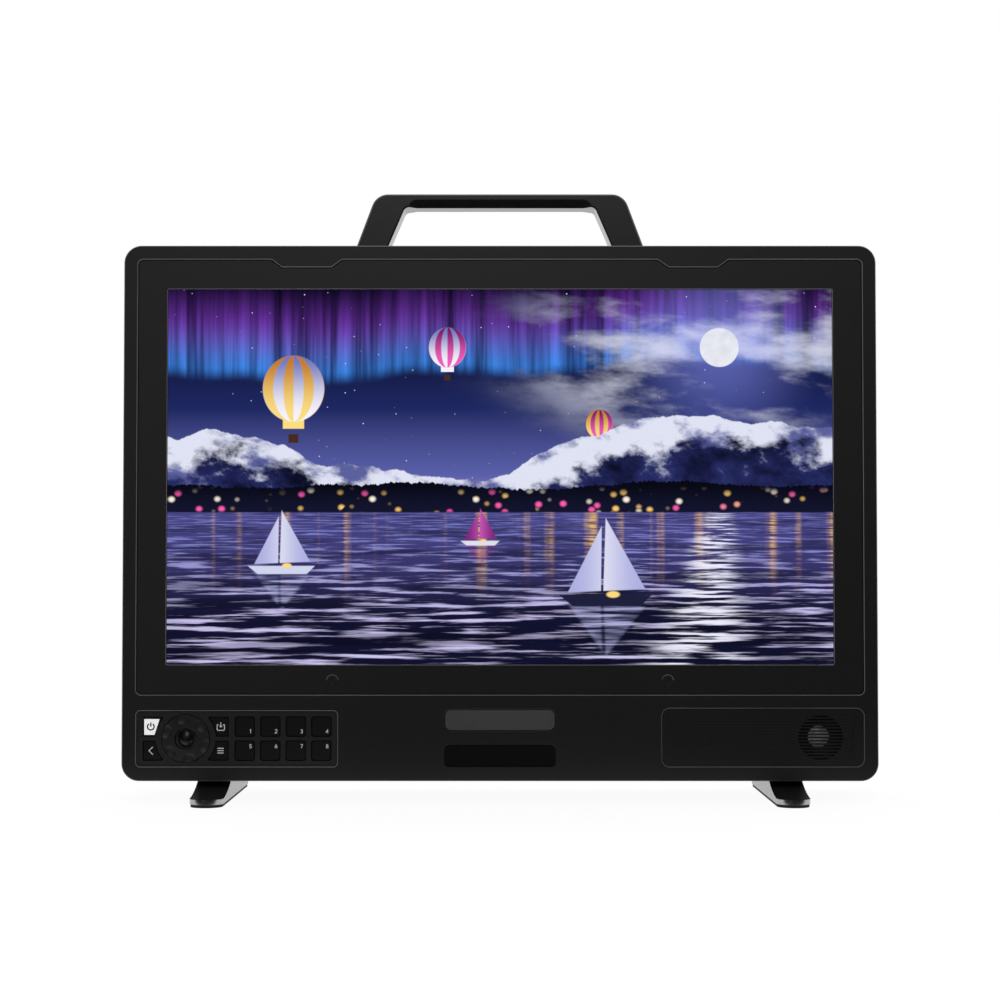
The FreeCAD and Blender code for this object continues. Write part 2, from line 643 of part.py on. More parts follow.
class Piece:
    """One sub-part, built up in a body of its own from outlines that are grown, sunk or turned."""

    def __init__(self, label):
        self.body = doc.addObject("PartDesign::Body", label)
        self.body.Label = label
        PARTS[label] = self.body

    def draw(self, plane, level, origin=("0", "0")):
        return Outline(self.body, plane, level, origin)

    def feature(self, kind, outline=None):
        made = self.body.newObject(f"PartDesign::{kind}", f"{self.body.Label}_{kind.lower()}")
        if outline is not None:
            made.Profile = outline.sketch
        return made

    def grow(self, outline, end):
        """Adds the outline from its own level to a higher one."""
        pad = self.feature("Pad", outline)
        pad.Reversed = outline.plane == "XZ"
        pad.setExpression("Length", formula(f"{end} - ({outline.level})"))
        return pad

    def sink(self, outline, end):
        """Cuts the outline from its own level to a higher one."""
        pocket = self.feature("Pocket", outline)
        pocket.Reversed = outline.plane != "XZ"
        pocket.setExpression("Length", formula(f"{end} - ({outline.level})"))
        return pocket

    def turn(self, outline, cut=False):
        """Turns a profile once round the sketch's own vertical axis."""
        made = self.feature("Groove" if cut else "Revolution", outline)
        made.ReferenceAxis = (outline.sketch, ["V_Axis"])
        made.Angle = 360
        return made

    def repeat(self, features, outline, axis, pitch, count):
        """Repeats features along an axis of a sketch."""
        pattern = self.feature("LinearPattern")
        pattern.Originals = features
        pattern.Direction = (outline.sketch, [axis])
        pattern.setExpression("Length", formula(f"({pitch}) * ({count} - 1)"))
        pattern.setExpression("Occurrences", formula(count))
        self.body.Tip = pattern
        return pattern

    def ring(self, features, outline, count):
        """Repeats features in a full circle about a sketch's vertical axis."""
        pattern = self.feature("PolarPattern")
        pattern.Originals = features
        pattern.Axis = (outline.sketch, ["V_Axis"])
        pattern.Angle = 360
        pattern.setExpression("Occurrences", formula(count))
        self.body.Tip = pattern
        return pattern

    def dress(self, kind, wanted, size):
        """Puts a chamfer or a fillet on every edge that passes a test."""
        doc.recompute()
        base = self.body.Tip
        names = [f"Edge{i}" for i, edge in enumerate(base.Shape.Edges, 1) if wanted(edge)]
        made = self.feature(kind)
        made.Base = (base, names)
        made.setExpression("Size" if kind == "Chamfer" else "Radius", formula(size))
        return made


def lies_at(axis, level):
    """Test for edges that lie wholly in the plane where one coordinate is the given level."""
    place = value(level)

    def test(edge):
        reach = edge.BoundBox
        low, high = getattr(reach, f"{axis}Min"), getattr(reach, f"{axis}Max")
        return abs(low - place) < 1e-3 and abs(high - place) < 1e-3

    return test


def runs_back(edge):
    """Test for straight edges that run from front to back."""
    reach = edge.BoundBox
    return reach.YLength > 1e-3 and reach.XLength < 1e-3 and reach.ZLength < 1e-3


def place(made, x, y, z, turn=Rotation()):
    made.Placement.Rotation = turn
    for axis, text in zip("xyz", (x, y, z)):
        made.setExpression(f"Placement.Base.{axis}", formula(text))
    return made


TURNS = {"x": Rotation(Vector(0, 1, 0), 90), "y": Rotation(Vector(1, 0, 0), -90), "z": Rotation()}


def block(label, centre_x, centre_z, width, height, start, end):
    """Plain block between two y levels, centred in x and z."""
    box = doc.addObject("Part::Box", label)
    box.setExpression("Length", formula(width))
    box.setExpression("Width", formula(f"{end} - ({start})"))
    box.setExpression("Height", formula(height))
    return place(box, f"{centre_x} - ({width}) / 2", start, f"{centre_z} - ({height}) / 2")


def rod(label, axis, radius, length, x, y, z):
    """Round bar that starts at a point and runs along +x, +y or +z."""
    bar = doc.addObject("Part::Cylinder", label)
    bar.setExpression("Radius", formula(radius))
    bar.setExpression("Height", formula(length))
    return place(bar, x, y, z, TURNS[axis])


def fuse(label, *members):
    made = doc.addObject("Part::MultiFuse", label)
    made.Shapes = list(members)
    made.Refine = True
    return made


def cut(label, base, *tools):
    made = doc.addObject("Part::Cut", label)
    made.Base = base
    made.Tool = tools[0] if len(tools) == 1 else fuse(f"{label}_tools", *tools)
    return made


def group(label, members):
    """Several equal solids that share one node."""
    made = doc.addObject("Part::Compound", label)
    made.Links = list(members)
    PARTS[label] = made
    return made


def keep(label, made):
    """Names an object as a finished sub-part."""
    made.Label = label
    PARTS[label] = made
    return made


def screw(label, axis, seat, along, head, height, shank, length):
    """Screw whose head stands on its seat; its shank runs on along +axis or, with along = -1, back."""
    x, y, z = seat

    def shifted(amount):
        spot = {"x": x, "y": y, "z": z}
        spot[axis] = f"{spot[axis]} + ({amount})"
        return spot["x"], spot["y"], spot["z"]

    top = f"-({height})" if along > 0 else "0"
    tail = "0" if along > 0 else f"-({length})"
    cap = rod(f"{label}_head", axis, head, height, *shifted(top))
    pin = rod(f"{label}_shank", axis, shank, length, *shifted(tail))
    return fuse(label, cap, pin)


def mirrored_pairs(*formulas):
    """Every sign of a set of distances, such as the four corners of a rectangle."""
    spots = [()]
    for text in formulas:
        spots = [(*spot, f"{sign} * ({text})") for spot in spots for sign in ("-1", "1")]
    return spots


BOSS_LEVELS = [f"base + boss_{name}" for name in ("low", "middle", "high")]
COVER_SCREWS = [(x, z) for (x,) in mirrored_pairs("boss_x") for z in BOSS_LEVELS]
HANDLE_SCREWS = [
    (x, f"handle_middle + {y}")
    for x, y in mirrored_pairs("handle_screw_span / 2", "handle_screw_spacing / 2")
]
FOOT_SCREWS = [
    (x, y) for (x,) in mirrored_pairs("foot_x") for y in ("foot_screw_first", "foot_screw_second")
]
FRAME_SCREWS = [(x, "frame_screw_z") for (x,) in mirrored_pairs("frame_screw_spacing / 2")]
EARS = [
    (x, f"screen_level + {z}")
    for x, z in mirrored_pairs("ear_spacing / 2", "(tray_height + ear_reach) / 2")
]
CARRIER_SCREWS = [
    (x, f"screen_level + {z}")
    for x, z in mirrored_pairs("(carrier_width / 2 - carrier_screw_inset)",
                               "(carrier_height / 2 - carrier_screw_inset)")
]
BOARD_BOSSES = [
    (f"pocket_x + {x}", f"pocket_z + {z}")
    for x, z in mirrored_pairs("pocket_width / 2 + board_boss_reach", "board_boss_spread / 2")
]
MOUNT_HOLES = [
    (x, f"mount_z + {z}") for x, z in mirrored_pairs("mount_spacing / 2", "mount_spacing / 2")
]
SIDE_KEYS = {
    "power_button": (-1, 1),
    "back_button": (-1, -1),
    "save_button": (1, 1),
    "menu_button": (1, -1),
}
FUNCTION_KEYS = [
    (f"dial_x + key_offset + {column} * key_pitch", f"pocket_z + {sign} * row_pitch / 2")
    for sign in (1, -1)
    for column in range(4)
]


def circles(outline, spots, radius):
    for u, v in spots:
        outline.circle(u, v, radius)
    return outline


def frame_corners(gap):
    """Screen frame outline with its two notches, drawn in by a gap."""
    side = f"(frame_width / 2 - {gap})"
    low, high = f"frame_low + {gap}", f"frame_high - {gap}"
    dip = f"frame_high - tab_drop - {gap}"
    notch = []
    for width, sign, level in (("tab_root", "+", high), ("tab_tip", "+", dip),
                               ("tab_tip", "-", dip), ("tab_root", "-", high)):
        notch.append((f"(tab_spacing / 2 {sign} ({width} / 2 + {gap}))", level))
    right = [(u, v, "tab_corner") for u, v in notch]
    left = [(f"-{u}", v, "tab_corner") for u, v in reversed(notch)]
    return [
        (f"-{side}", low, "frame_corner"),
        (side, low, "frame_corner"),
        (side, high, "frame_corner"),
        *right,
        *left,
        (f"-{side}", high, "frame_corner"),
    ]


def front_chassis():
    """Milled shell: front wall with all its recesses, side walls and bosses."""
    piece = Piece("front_chassis")
    shell = piece.draw("XZ", "front")
    shell.rectangle("0", "middle", "body_width", "body_height", "body_corner")
    piece.grow(shell, "split")
    cavity = piece.draw("XZ", "face_back")
    cavity.rectangle("0", "middle", "body_width - 2 * wall", "body_height - 2 * wall",
                     "(body_corner - wall)")
    piece.sink(cavity, "split")

    piece.sink(piece.draw("XZ", "front").path(*frame_corners("0")), "seat")
    window = piece.draw("XZ", "seat")
    window.rectangle("0", "screen_level", "window_width", "window_height")
    piece.sink(window, "face_back")

    pocket = piece.draw("XZ", "front")
    pocket.rectangle("pocket_x", "pocket_z", "pocket_width", "pocket_height", "panel_corner")
    piece.sink(pocket, "panel_back")
    pocket_window = piece.draw("XZ", "panel_back")
    pocket_window.rectangle("pocket_x", "pocket_z", "pocket_width - 2 * panel_ledge",
                            "pocket_height - 2 * panel_ledge")
    piece.sink(pocket_window, "face_back")

    grille = piece.draw("XZ", "front")
    grille.rectangle("grille_x", "grille_z", "grille_width", "grille_height", "grille_corner")
    piece.sink(grille, "grille_back")
    grille_window = piece.draw("XZ", "grille_back")
    grille_window.rectangle("grille_x", "grille_z", "grille_width - 2 * grille_ledge",
                            "grille_height - 2 * grille_ledge")
    piece.sink(grille_window, "face_back")

    tally = piece.draw("XZ", "front")
    tally.rectangle("0", "tally_z", "tally_width", "tally_height", "tally_corner")
    piece.sink(tally, "face_back")
    plate = piece.draw("XZ", "front")
    plate.rectangle("0", "plate_z", "plate_width", "plate_height", "plate_corner")
    piece.sink(plate, "plate_back")

    bosses = piece.draw("XZ", "face_back - face_thickness / 2")
    for sign in ("-1", "1"):
        for level in BOSS_LEVELS:
            middle = f"{sign} * (boss_inner + body_width / 2 - wall / 2) / 2"
            bosses.rectangle(middle, level, "body_width / 2 - wall / 2 - boss_inner", "boss_width")
    piece.grow(bosses, "split")
    boss_holes = circles(piece.draw("XZ", "split - cover_screw_grip - thread_run_out"),
                         COVER_SCREWS, "small_hole")
    piece.sink(boss_holes, "split")
    board_bosses = piece.draw("XZ", "face_back - face_thickness / 4")
    piece.grow(circles(board_bosses, BOARD_BOSSES, "board_boss"), "board_front")

    frame_holes = circles(piece.draw("XZ", "seat"), FRAME_SCREWS, "small_hole")
    piece.sink(frame_holes, "seat + small_grip + thread_run_out / 2")
    ear_holes = circles(piece.draw("XZ", "face_back - sheet_grip - thread_run_out"),
                        EARS, "small_hole")
    piece.sink(ear_holes, "face_back")
    piece.sink(circles(piece.draw("XY", "top - wall"), HANDLE_SCREWS, "big_hole"), "top")
    piece.sink(circles(piece.draw("XY", "base"), FOOT_SCREWS, "big_hole"), "base + wall")
    piece.dress("Chamfer", lies_at("Y", "front"), "edge_break")


def screen():
    """Inset frame with its two screws, and the stack behind it: glass, cell, diffuser, lights, tray."""
    frame = Piece("screen_frame")
    frame.grow(frame.draw("XZ", "frame_front").path(*frame_corners("inset_gap")), "seat")
    opening = frame.draw("XZ", "frame_front")
    opening.rectangle("0", "screen_level", "view_width", "view_height", "view_corner")
    frame.sink(opening, "seat")
    frame.sink(circles(frame.draw("XZ", "frame_front"), FRAME_SCREWS, "small_hole"), "seat")
    heads = circles(frame.draw("XZ", "frame_front"), FRAME_SCREWS,
                    "frame_screw_head + hole_clearance")
    head_seat = "frame_front + frame_screw_sink + frame_screw_head_height"
    frame.sink(heads, head_seat)
    frame.dress("Chamfer", lies_at("Y", "frame_front"), "frame_break")

    screws = []
    for x, z in FRAME_SCREWS:
        body = screw("frame_screw", "y", (x, head_seat, z), 1, "frame_screw_head",
                     "frame_screw_head_height", "small_screw", f"seat + small_grip - ({head_seat})")
        recess = rod("frame_screw_recess", "y", "frame_screw_socket", "frame_screw_socket_depth",
                     x, "frame_front + frame_screw_sink", z)
        screws.append(cut("frame_screw_cut", body, recess))
    group("frame_screws", screws)

    keep("cover_glass", block("cover_glass", "0", "screen_level", "glass_width", "glass_height",
                              "seat", "glass_back"))
    keep("lcd_panel", block("lcd_panel", "0", "screen_level", "glass_width", "glass_height",
                            "glass_back", "lcd_back"))
    keep("light_diffuser", block("light_diffuser", "0", "screen_level",
                                 "window_width - 2 * diffuser_gap", "window_height - 2 * diffuser_gap",
                                 "ledge_front - diffuser_thickness", "ledge_front"))

    lights = Piece("light_board")
    board = lights.draw("XZ", "tray_inside - light_board_thickness")
    board.rectangle("0", "screen_level", "well_width - 2 * diffuser_gap", "well_height - 2 * diffuser_gap")
    lights.grow(board, "tray_inside")
    bar = lights.draw("XZ", "tray_inside - light_board_thickness - light_bar_height")
    bar.rectangle("0", "screen_level - light_bar_pitch * (light_bar_count - 1) / 2",
                  "well_width - 4 * diffuser_ledge", "light_bar_width")
    lights.repeat([lights.grow(bar, "tray_inside - light_board_thickness")], bar, "V_Axis",
                  "light_bar_pitch", "light_bar_count")

    tray = Piece("backlight_tray")
    box = tray.draw("XZ", "face_back")
    tray.grow(box.rectangle("0", "screen_level", "tray_width", "tray_height"), "tray_back")
    ears = tray.draw("XZ", "face_back")
    for x, z in EARS:
        ears.rectangle(x, z, "ear_width", "ear_reach + tray_rim")
    tray.grow(ears, "face_back + ear_thickness")
    seat = tray.draw("XZ", "face_back")
    tray.sink(seat.rectangle("0", "screen_level", "window_width", "window_height"), "ledge_front")
    well = tray.draw("XZ", "ledge_front")
    tray.sink(well.rectangle("0", "screen_level", "well_width", "well_height"), "tray_inside")
    ear_holes = circles(tray.draw("XZ", "face_back"), EARS, "small_hole")
    tray.sink(ear_holes, "face_back + ear_thickness")
    tapped = circles(tray.draw("XZ", "tray_inside"), CARRIER_SCREWS, "small_hole")
    tray.sink(tapped, "tray_back")


def boards():
    """Sheet behind the tray with its standoffs, the main board under its heat sink, the power board."""
    carrier = Piece("board_carrier")
    plate = carrier.draw("XZ", "tray_back")
    plate.rectangle("0", "screen_level", "carrier_width", "carrier_height")
    carrier.grow(plate, "carrier_back")
    slot = carrier.draw("XZ", "tray_back")
    slot.rectangle("main_shift", "screen_level - carrier_height / 4", "cable_slot_width",
                   "cable_slot_height", "cable_slot_height / 4")
    carrier.sink(slot, "carrier_back")
    carrier.sink(circles(carrier.draw("XZ", "tray_back"), CARRIER_SCREWS, "small_hole"), "carrier_back")
    group("sheet_screws", [
        screw("sheet_screw", "y", (x, f"{start} + {sheet_metal}", z), -1, "small_head",
              "small_head_height", "small_screw", f"{sheet_metal} + sheet_grip")
        for start, sheet_metal, spots in (("face_back", "ear_thickness", EARS),
                                          ("tray_back", "carrier_thickness", CARRIER_SCREWS))
        for x, z in spots
    ])

    posts = []
    for shift, width in (("main_shift", "main_width"), ("power_shift", "power_width")):
        for x, z in mirrored_pairs(f"({width} / 2 - standoff_inset)", "(main_height / 2 - standoff_inset)"):
            posts.append(rod("standoff", "y", "standoff_radius", "standoff_height",
                             f"{shift} + {x}", "carrier_back", f"board_level + {z}"))
    group("board_standoffs", posts)

    main = Piece("main_board")
    plate = main.draw("XZ", "main_front")
    plate.rectangle("main_shift", "board_level", "main_width", "main_height")
    main.grow(plate, "main_back")
    chip = main.draw("XZ", "main_back")
    main.grow(chip.rectangle("main_shift", "board_level", "chip_size", "chip_size"), "chip_back")

    cooler = Piece("heat_sink")
    stock = cooler.draw("XZ", "chip_back")
    stock.rectangle("main_shift", "board_level", "sink_width", "sink_height")
    cooler.grow(stock, "sink_back + fin_depth")
    gap = cooler.draw("XZ", "sink_back")
    gap.rectangle("main_shift - fin_pitch * (fin_count - 1) / 2", "board_level", "fin_gap",
                  "sink_height + 2 * wall")
    cooler.repeat([cooler.sink(gap, "sink_back + fin_depth")], gap, "H_Axis", "fin_pitch", "fin_count")

    supply = Piece("power_board")
    plate = supply.draw("XZ", "main_front")
    plate.rectangle("power_shift", "board_level", "power_width", "main_height")
    supply.grow(plate, "main_back")
    coil = supply.draw("XZ", "main_back")
    coil.rectangle("power_shift - power_width / 5", "board_level", "coil_block", "coil_block", "wall")
    supply.grow(coil, "main_back + coil_block_height")
    cans = supply.draw("XZ", "main_back")
    cans.circle("power_shift + power_width / 5", "board_level - main_height / 5", "capacitor_radius")
    cans.circle("power_shift + power_width / 5", "board_level + main_height / 5", "capacitor_radius")
    supply.grow(cans, "main_back + capacitor_height")


def handle():
    """Trapezoid handle; the underside of its bar is chamfered where the fingers go."""
    piece = Piece("handle")
    bow = piece.draw("XZ", "handle_front")
    bow.path(("-handle_base / 2", "top"), ("-grip_base / 2", "top"),
             ("-grip_top / 2", "bar_low", "grip_corner"), ("grip_top / 2", "bar_low", "grip_corner"),
             ("grip_base / 2", "top"), ("handle_base / 2", "top"),
             ("handle_top / 2", "handle_high", "handle_corner"),
             ("-handle_top / 2", "handle_high", "handle_corner"))
    piece.grow(bow, "handle_rear")
    rim_front, rim_rear = lies_at("Y", "handle_front"), lies_at("Y", "handle_rear")
    underside = value("top")
    piece.dress("Chamfer", lambda edge: (rim_front(edge) or rim_rear(edge))
                and edge.BoundBox.ZMax > underside + 1e-3, "handle_break")
    for face in ("handle_front", "handle_rear"):
        grip = piece.draw("XZ", face)
        grip.path(("-grip_run / 2", "bar_low - 3 * grip_chamfer"), ("grip_run / 2", "bar_low - 3 * grip_chamfer"),
                  ("grip_run / 2", "bar_low + grip_chamfer", "run_out"),
                  ("-grip_run / 2", "bar_low + grip_chamfer", "run_out"))
        scoop = piece.feature("Pocket", grip)
        scoop.Reversed = face == "handle_rear"
        scoop.TaperAngle = -45
        scoop.setExpression("Length", formula("grip_chamfer"))
    holes = circles(piece.draw("XY", "top"), HANDLE_SCREWS, "big_hole")
    piece.sink(holes, "top + handle_screw_length + thread_run_out")
    group("handle_screws", [
        screw("handle_screw", "z", (x, y, "top - wall"), 1, "big_head", "big_head_height",
              "big_screw", "wall + handle_screw_length")
        for x, y in HANDLE_SCREWS
    ])


def foot(side, sign):
    """Foot with round thin ends that sweep up to the housing, and its rubber pad."""
    middle = f"{sign} * foot_x"
    piece = Piece(f"{side}_foot")
    plan = piece.draw("XY", "pad_thickness")
    plan.slot((middle, "nose - foot_half"), (middle, "foot_half - nose"), "nose")
    piece.grow(plan, "base")
    left_of = f"{middle} - foot_width"
    for end in ("-1", "1"):
        sweep = piece.draw("YZ", left_of)
        sweep.circle(f"{end} * (foot_half - toe_flat)", "toe_top + sweep_radius", "sweep_radius")
        piece.sink(sweep, f"{middle} + foot_width")
        toe = piece.draw("YZ", left_of)
        toe.rectangle(f"{end} * (foot_half - toe_flat / 2)", "toe_top + base / 2", "toe_flat", "base")
        piece.sink(toe, f"{middle} + foot_width")
    spots = [(middle, y) for y in ("foot_screw_first", "foot_screw_second")]
    piece.sink(circles(piece.draw("XY", "pad_thickness"), spots, "big_hole"), "base")
    heads = circles(piece.draw("XY", "pad_thickness"), spots, "big_head + head_clearance")
    piece.sink(heads, "foot_head_top")

    pad = Piece(f"{side}_foot_pad")
    sole = pad.draw("XY", "0")
    sole.slot((middle, "nose - foot_half"), (middle, "foot_half - nose"), "(nose - pad_inset)")
    pad.grow(sole, "pad_thickness")


def feet():
    """Both feet, and the four screws that hold them from below, hidden by the pads."""
    foot("left", "-1")
    foot("right", "1")
    group("foot_screws", [
        screw("foot_screw", "z", (x, y, "foot_head_top"), 1, "big_head", "big_head_height",
              "big_screw", "base - foot_head_top + foot_screw_length")
        for x, y in FOOT_SCREWS
    ])


def control_panel():
    """Plate in the control pocket with a hole for the wheel and for each button."""
    piece = Piece("control_panel")
    plate = piece.draw("XZ", "panel_front")
    plate.rectangle("pocket_x", "pocket_z", "pocket_width - 2 * inset_gap",
                    "pocket_height - 2 * inset_gap", "(panel_corner - inset_gap)")
    piece.grow(plate, "panel_back")
    piece.sink(piece.draw("XZ", "panel_front").circle("dial_x", "pocket_z", "dial_radius + dial_gap"),
               "panel_back")
    beside = piece.draw("XZ", "panel_front")
    for side, row_side in SIDE_KEYS.values():
        beside.hollow_side_key(side, row_side, "key_gap")
    piece.sink(beside, "panel_back")
    reach = value("side_key_reach + key_gap")
    axis = Vector(value("dial_x"), 0, value("pocket_z"))

    def key_corner(edge):
        spot = edge.Vertexes[0].Point - axis
        return runs_back(edge) and abs(spot.x) < reach + 0.01 and abs(spot.z) < reach / 2 + 1.5

    piece.dress("Fillet", key_corner, "key_corner / 2")
    keys = piece.draw("XZ", "panel_front")
    for x, z in FUNCTION_KEYS:
        keys.rectangle(x, z, "key_size + 2 * key_gap", "key_size + 2 * key_gap", "key_corner")
    piece.sink(keys, "panel_back")


def finish_button(piece, x, z):
    """Stem behind a button."""
    piece.grow(piece.draw("XZ", "key_flange_back").circle(x, z, "key_stem"), "key_stem_end")


def buttons():
    """Eight square function buttons and the four hollow-sided ones beside the wheel."""
    for number, (x, z) in enumerate(FUNCTION_KEYS, 1):
        piece = Piece(f"function_button_{number}")
        cap = piece.draw("XZ", "key_front").rectangle(x, z, "key_size", "key_size", "key_corner")
        piece.grow(cap, "key_flange_front")
        piece.dress("Chamfer", lies_at("Y", "key_front"), "key_break")
        flange = piece.draw("XZ", "key_flange_front")
        flange.rectangle(x, z, "key_size + 2 * key_flange", "key_size + 2 * key_flange")
        piece.grow(flange, "key_flange_back")
        finish_button(piece, x, z)
    for name, (side, row_side) in SIDE_KEYS.items():
        piece = Piece(name)
        piece.grow(piece.draw("XZ", "key_front").hollow_side_key(side, row_side, "0"),
                   "key_flange_front")
        piece.dress("Fillet", runs_back, "key_corner / 2")
        piece.dress("Chamfer", lies_at("Y", "key_front"), "key_break")
        piece.grow(piece.draw("XZ", "key_flange_front").hollow_side_key(side, row_side, "key_flange"),
                   "key_flange_back")
        finish_button(piece, f"dial_x + {side} * (side_key_reach + side_key_arc) / 2",
                      f"pocket_z + {row_side} * row_pitch / 2")


def keypad():
    """Board behind the control panel, with one switch behind each button and one behind the nub."""
    keep("keypad_board", block("keypad_board", "pocket_x", "pocket_z",
                               "pocket_width + 2 * (board_boss_reach + board_boss)", "pocket_height",
                               "board_front", "board_back"))
    spots = list(FUNCTION_KEYS)
    for side, row_side in SIDE_KEYS.values():
        spots.append((f"dial_x + {side} * (side_key_reach + side_key_arc) / 2",
                      f"pocket_z + {row_side} * row_pitch / 2"))
    switches = [block("switch", x, z, "switch_size", "switch_size", "switch_front", "board_front")
                for x, z in spots]
    dome = "board_front - (pivot_y + stem_tail + nub_click + nub_switch_gap)"
    switches.append(rod("switch", "y", "nub_stem", dome, "dial_x", f"board_front - ({dome})", "pocket_z"))
    group("key_switches", switches)


def jog_wheel():
    """Turned wheel with a dished face and six finger scallops; its sleeve runs on the joystick base."""
    piece = Piece("jog_wheel")
    profile = piece.draw("XY", "pocket_z", ("dial_x", "0"))
    profile.path(("cup_radius", "dial_front + dial_dish + cup_rim"),
                 ("cup_radius + cup_rim", "dial_front + dial_dish"),
                 ("dial_radius - dial_rim", "dial_front"),
                 ("dial_radius", "dial_front + dial_rim"),
                 ("dial_radius", "dial_flange_front"),
                 ("dial_radius + dial_flange", "dial_flange_front"),
                 ("dial_radius + dial_flange", "dial_flange_back"),
                 ("dial_sleeve", "dial_flange_back"),
                 ("dial_sleeve", "dial_end"),
                 ("dial_bore", "dial_end"),
                 ("dial_bore", "lip_back"),
                 ("cup_radius", "lip_back"))
    piece.turn(profile)
    scallop = piece.feature("SubtractiveSphere")
    planes = {feature.Role: feature for feature in piece.body.Origin.OriginFeatures}
    scallop.AttachmentSupport = [(planes["XY_Plane"], "")]
    scallop.MapMode = "FlatFace"
    scallop.setExpression("Radius", formula("scallop_radius"))
    where = {"x": "dial_x + scallop_ring * cos(scallop_start * 1 deg)",
             "y": "dial_front + scallop_depth - scallop_radius",
             "z": "pocket_z + scallop_ring * sin(scallop_start * 1 deg)"}
    for axis, text in where.items():
        scallop.setExpression(f"AttachmentOffset.Base.{axis}", formula(text))
    piece.ring([scallop], profile, "scallop_count")


def joystick():
    """Two-axis joystick: base, gimbal ring on pins along X, cradle on pins along Z, nub that clicks in."""
    base = Piece("joystick_base")
    wall = base.draw("XY", "pocket_z", ("dial_x", "0"))
    wall.path(("nest_bore", "nest_front"), ("nest_radius", "nest_front"),
              ("nest_radius", "board_front"), ("nest_bore", "board_front"))
    base.turn(wall)
    pivots = base.draw("YZ", "dial_x - nest_radius - ring_wall").circle("pivot_y", "pocket_z", "pivot_hole")
    base.sink(pivots, "dial_x + nest_radius + ring_wall")

    gimbal = Piece("joystick_gimbal")
    hoop = gimbal.draw("XY", "pocket_z", ("dial_x", "0"))
    hoop.path(("ring_bore", "pivot_y - ring_half"), ("ring_radius", "pivot_y - ring_half"),
              ("ring_radius", "pivot_y + ring_half"), ("ring_bore", "pivot_y + ring_half"))
    gimbal.turn(hoop)
    reach = "(nest_radius - ring_clearance)"
    right = gimbal.draw("YZ", "dial_x + ring_bore + ring_wall / 2").circle("pivot_y", "pocket_z", "pivot_pin")
    gimbal.grow(right, f"dial_x + {reach}")
    left = gimbal.draw("YZ", f"dial_x - {reach}").circle("pivot_y", "pocket_z", "pivot_pin")
    gimbal.grow(left, "dial_x - ring_bore - ring_wall / 2")
    holes = gimbal.draw("XY", "pocket_z - ring_radius - ring_wall").circle("dial_x", "pivot_y", "pivot_hole")
    gimbal.sink(holes, "pocket_z + ring_radius + ring_wall")

    cradle = Piece("joystick_cradle")
    tube = cradle.draw("XY", "pocket_z", ("dial_x", "0"))
    tube.path(("cradle_bore", "pivot_y - cradle_half"), ("cradle_radius", "pivot_y - cradle_half"),
              ("cradle_radius", "pivot_y + cradle_half"), ("cradle_bore", "pivot_y + cradle_half"))
    cradle.turn(tube)
    reach = "(ring_radius - ring_clearance / 2)"
    upper = cradle.draw("XY", "pocket_z + cradle_bore + cradle_wall / 2")
    cradle.grow(upper.circle("dial_x", "pivot_y", "pivot_pin"), f"pocket_z + {reach}")
    lower = cradle.draw("XY", f"pocket_z - {reach}").circle("dial_x", "pivot_y", "pivot_pin")
    cradle.grow(lower, "pocket_z - cradle_bore - cradle_wall / 2")

    nub = Piece("joystick_nub")
    cap = nub.draw("XY", "pocket_z", ("dial_x", "0"))
    dome = "(nub_cap - nub_edge)"
    crown = f"((nub_radius * nub_radius + {dome} * {dome}) / 2 / {dome})"
    profile = [("0", "nub_top"), ("nub_radius", f"nub_top + {dome}"), ("nub_radius", "nub_under"),
               ("nub_stem", "nub_under"), ("nub_stem", "pivot_y + stem_tail"),
               ("0", "pivot_y + stem_tail")]
    spots = [Vector(value(u), value(v), 0) for u, v in profile]
    centre = Vector(0, value(f"nub_top + {crown}"), 0)
    arc = cap.arc(centre, value(crown), spots[0], spots[1])
    lines = [cap.line(spots[i], spots[(i + 1) % len(spots)]) for i in range(1, len(spots))]
    chain = [(arc, 2), *[(line, 2) for line in lines]]
    starts = [*[(line, 1) for line in lines], (arc, 1)]
    for (one, leave), (other, join) in zip(chain, starts):
        cap.fix("Coincident", one, leave, other, join)
    for line, (u, v) in zip(lines, profile[1:]):
        cap.pin(line, 1, u, v)
    cap.pin(arc, 1, *profile[0])
    cap.fix("Radius", arc, size=crown)
    nub.turn(cap)


def tally_and_plate():
    """Tally lens and its light board in the middle of the chin, and the plain plate under it."""
    lens = Piece("tally_lens")
    window = lens.draw("XZ", "tally_front")
    window.rectangle("0", "tally_z", "tally_width - 2 * inset_gap", "tally_height - 2 * inset_gap",
                     "(tally_corner - inset_gap)")
    lens.grow(window, "face_back")
    flange = lens.draw("XZ", "face_back")
    flange.rectangle("0", "tally_z", "tally_width + 2 * tally_flange", "tally_height + 2 * tally_flange")
    lens.grow(flange, "tally_flange_back")
    posts = lens.draw("XZ", "tally_flange_back")
    for (x,) in mirrored_pairs("(tally_width / 2 - tally_post)"):
        posts.rectangle(x, "tally_z", "tally_post", "tally_height / 2")
    lens.grow(posts, "tally_board_front")
    lens.dress("Chamfer", lies_at("Y", "tally_front"), "key_break")
    keep("tally_board", block("tally_board", "0", "tally_z", "tally_width", "tally_height",
                              "tally_board_front", "tally_board_front + board_thickness"))
    plate = Piece("name_plate")
    bar = plate.draw("XZ", "plate_front")
    bar.rectangle("0", "plate_z", "plate_width - 2 * inset_gap", "plate_height - 2 * inset_gap",
                  "(plate_corner - inset_gap)")
    plate.grow(bar, "plate_back")


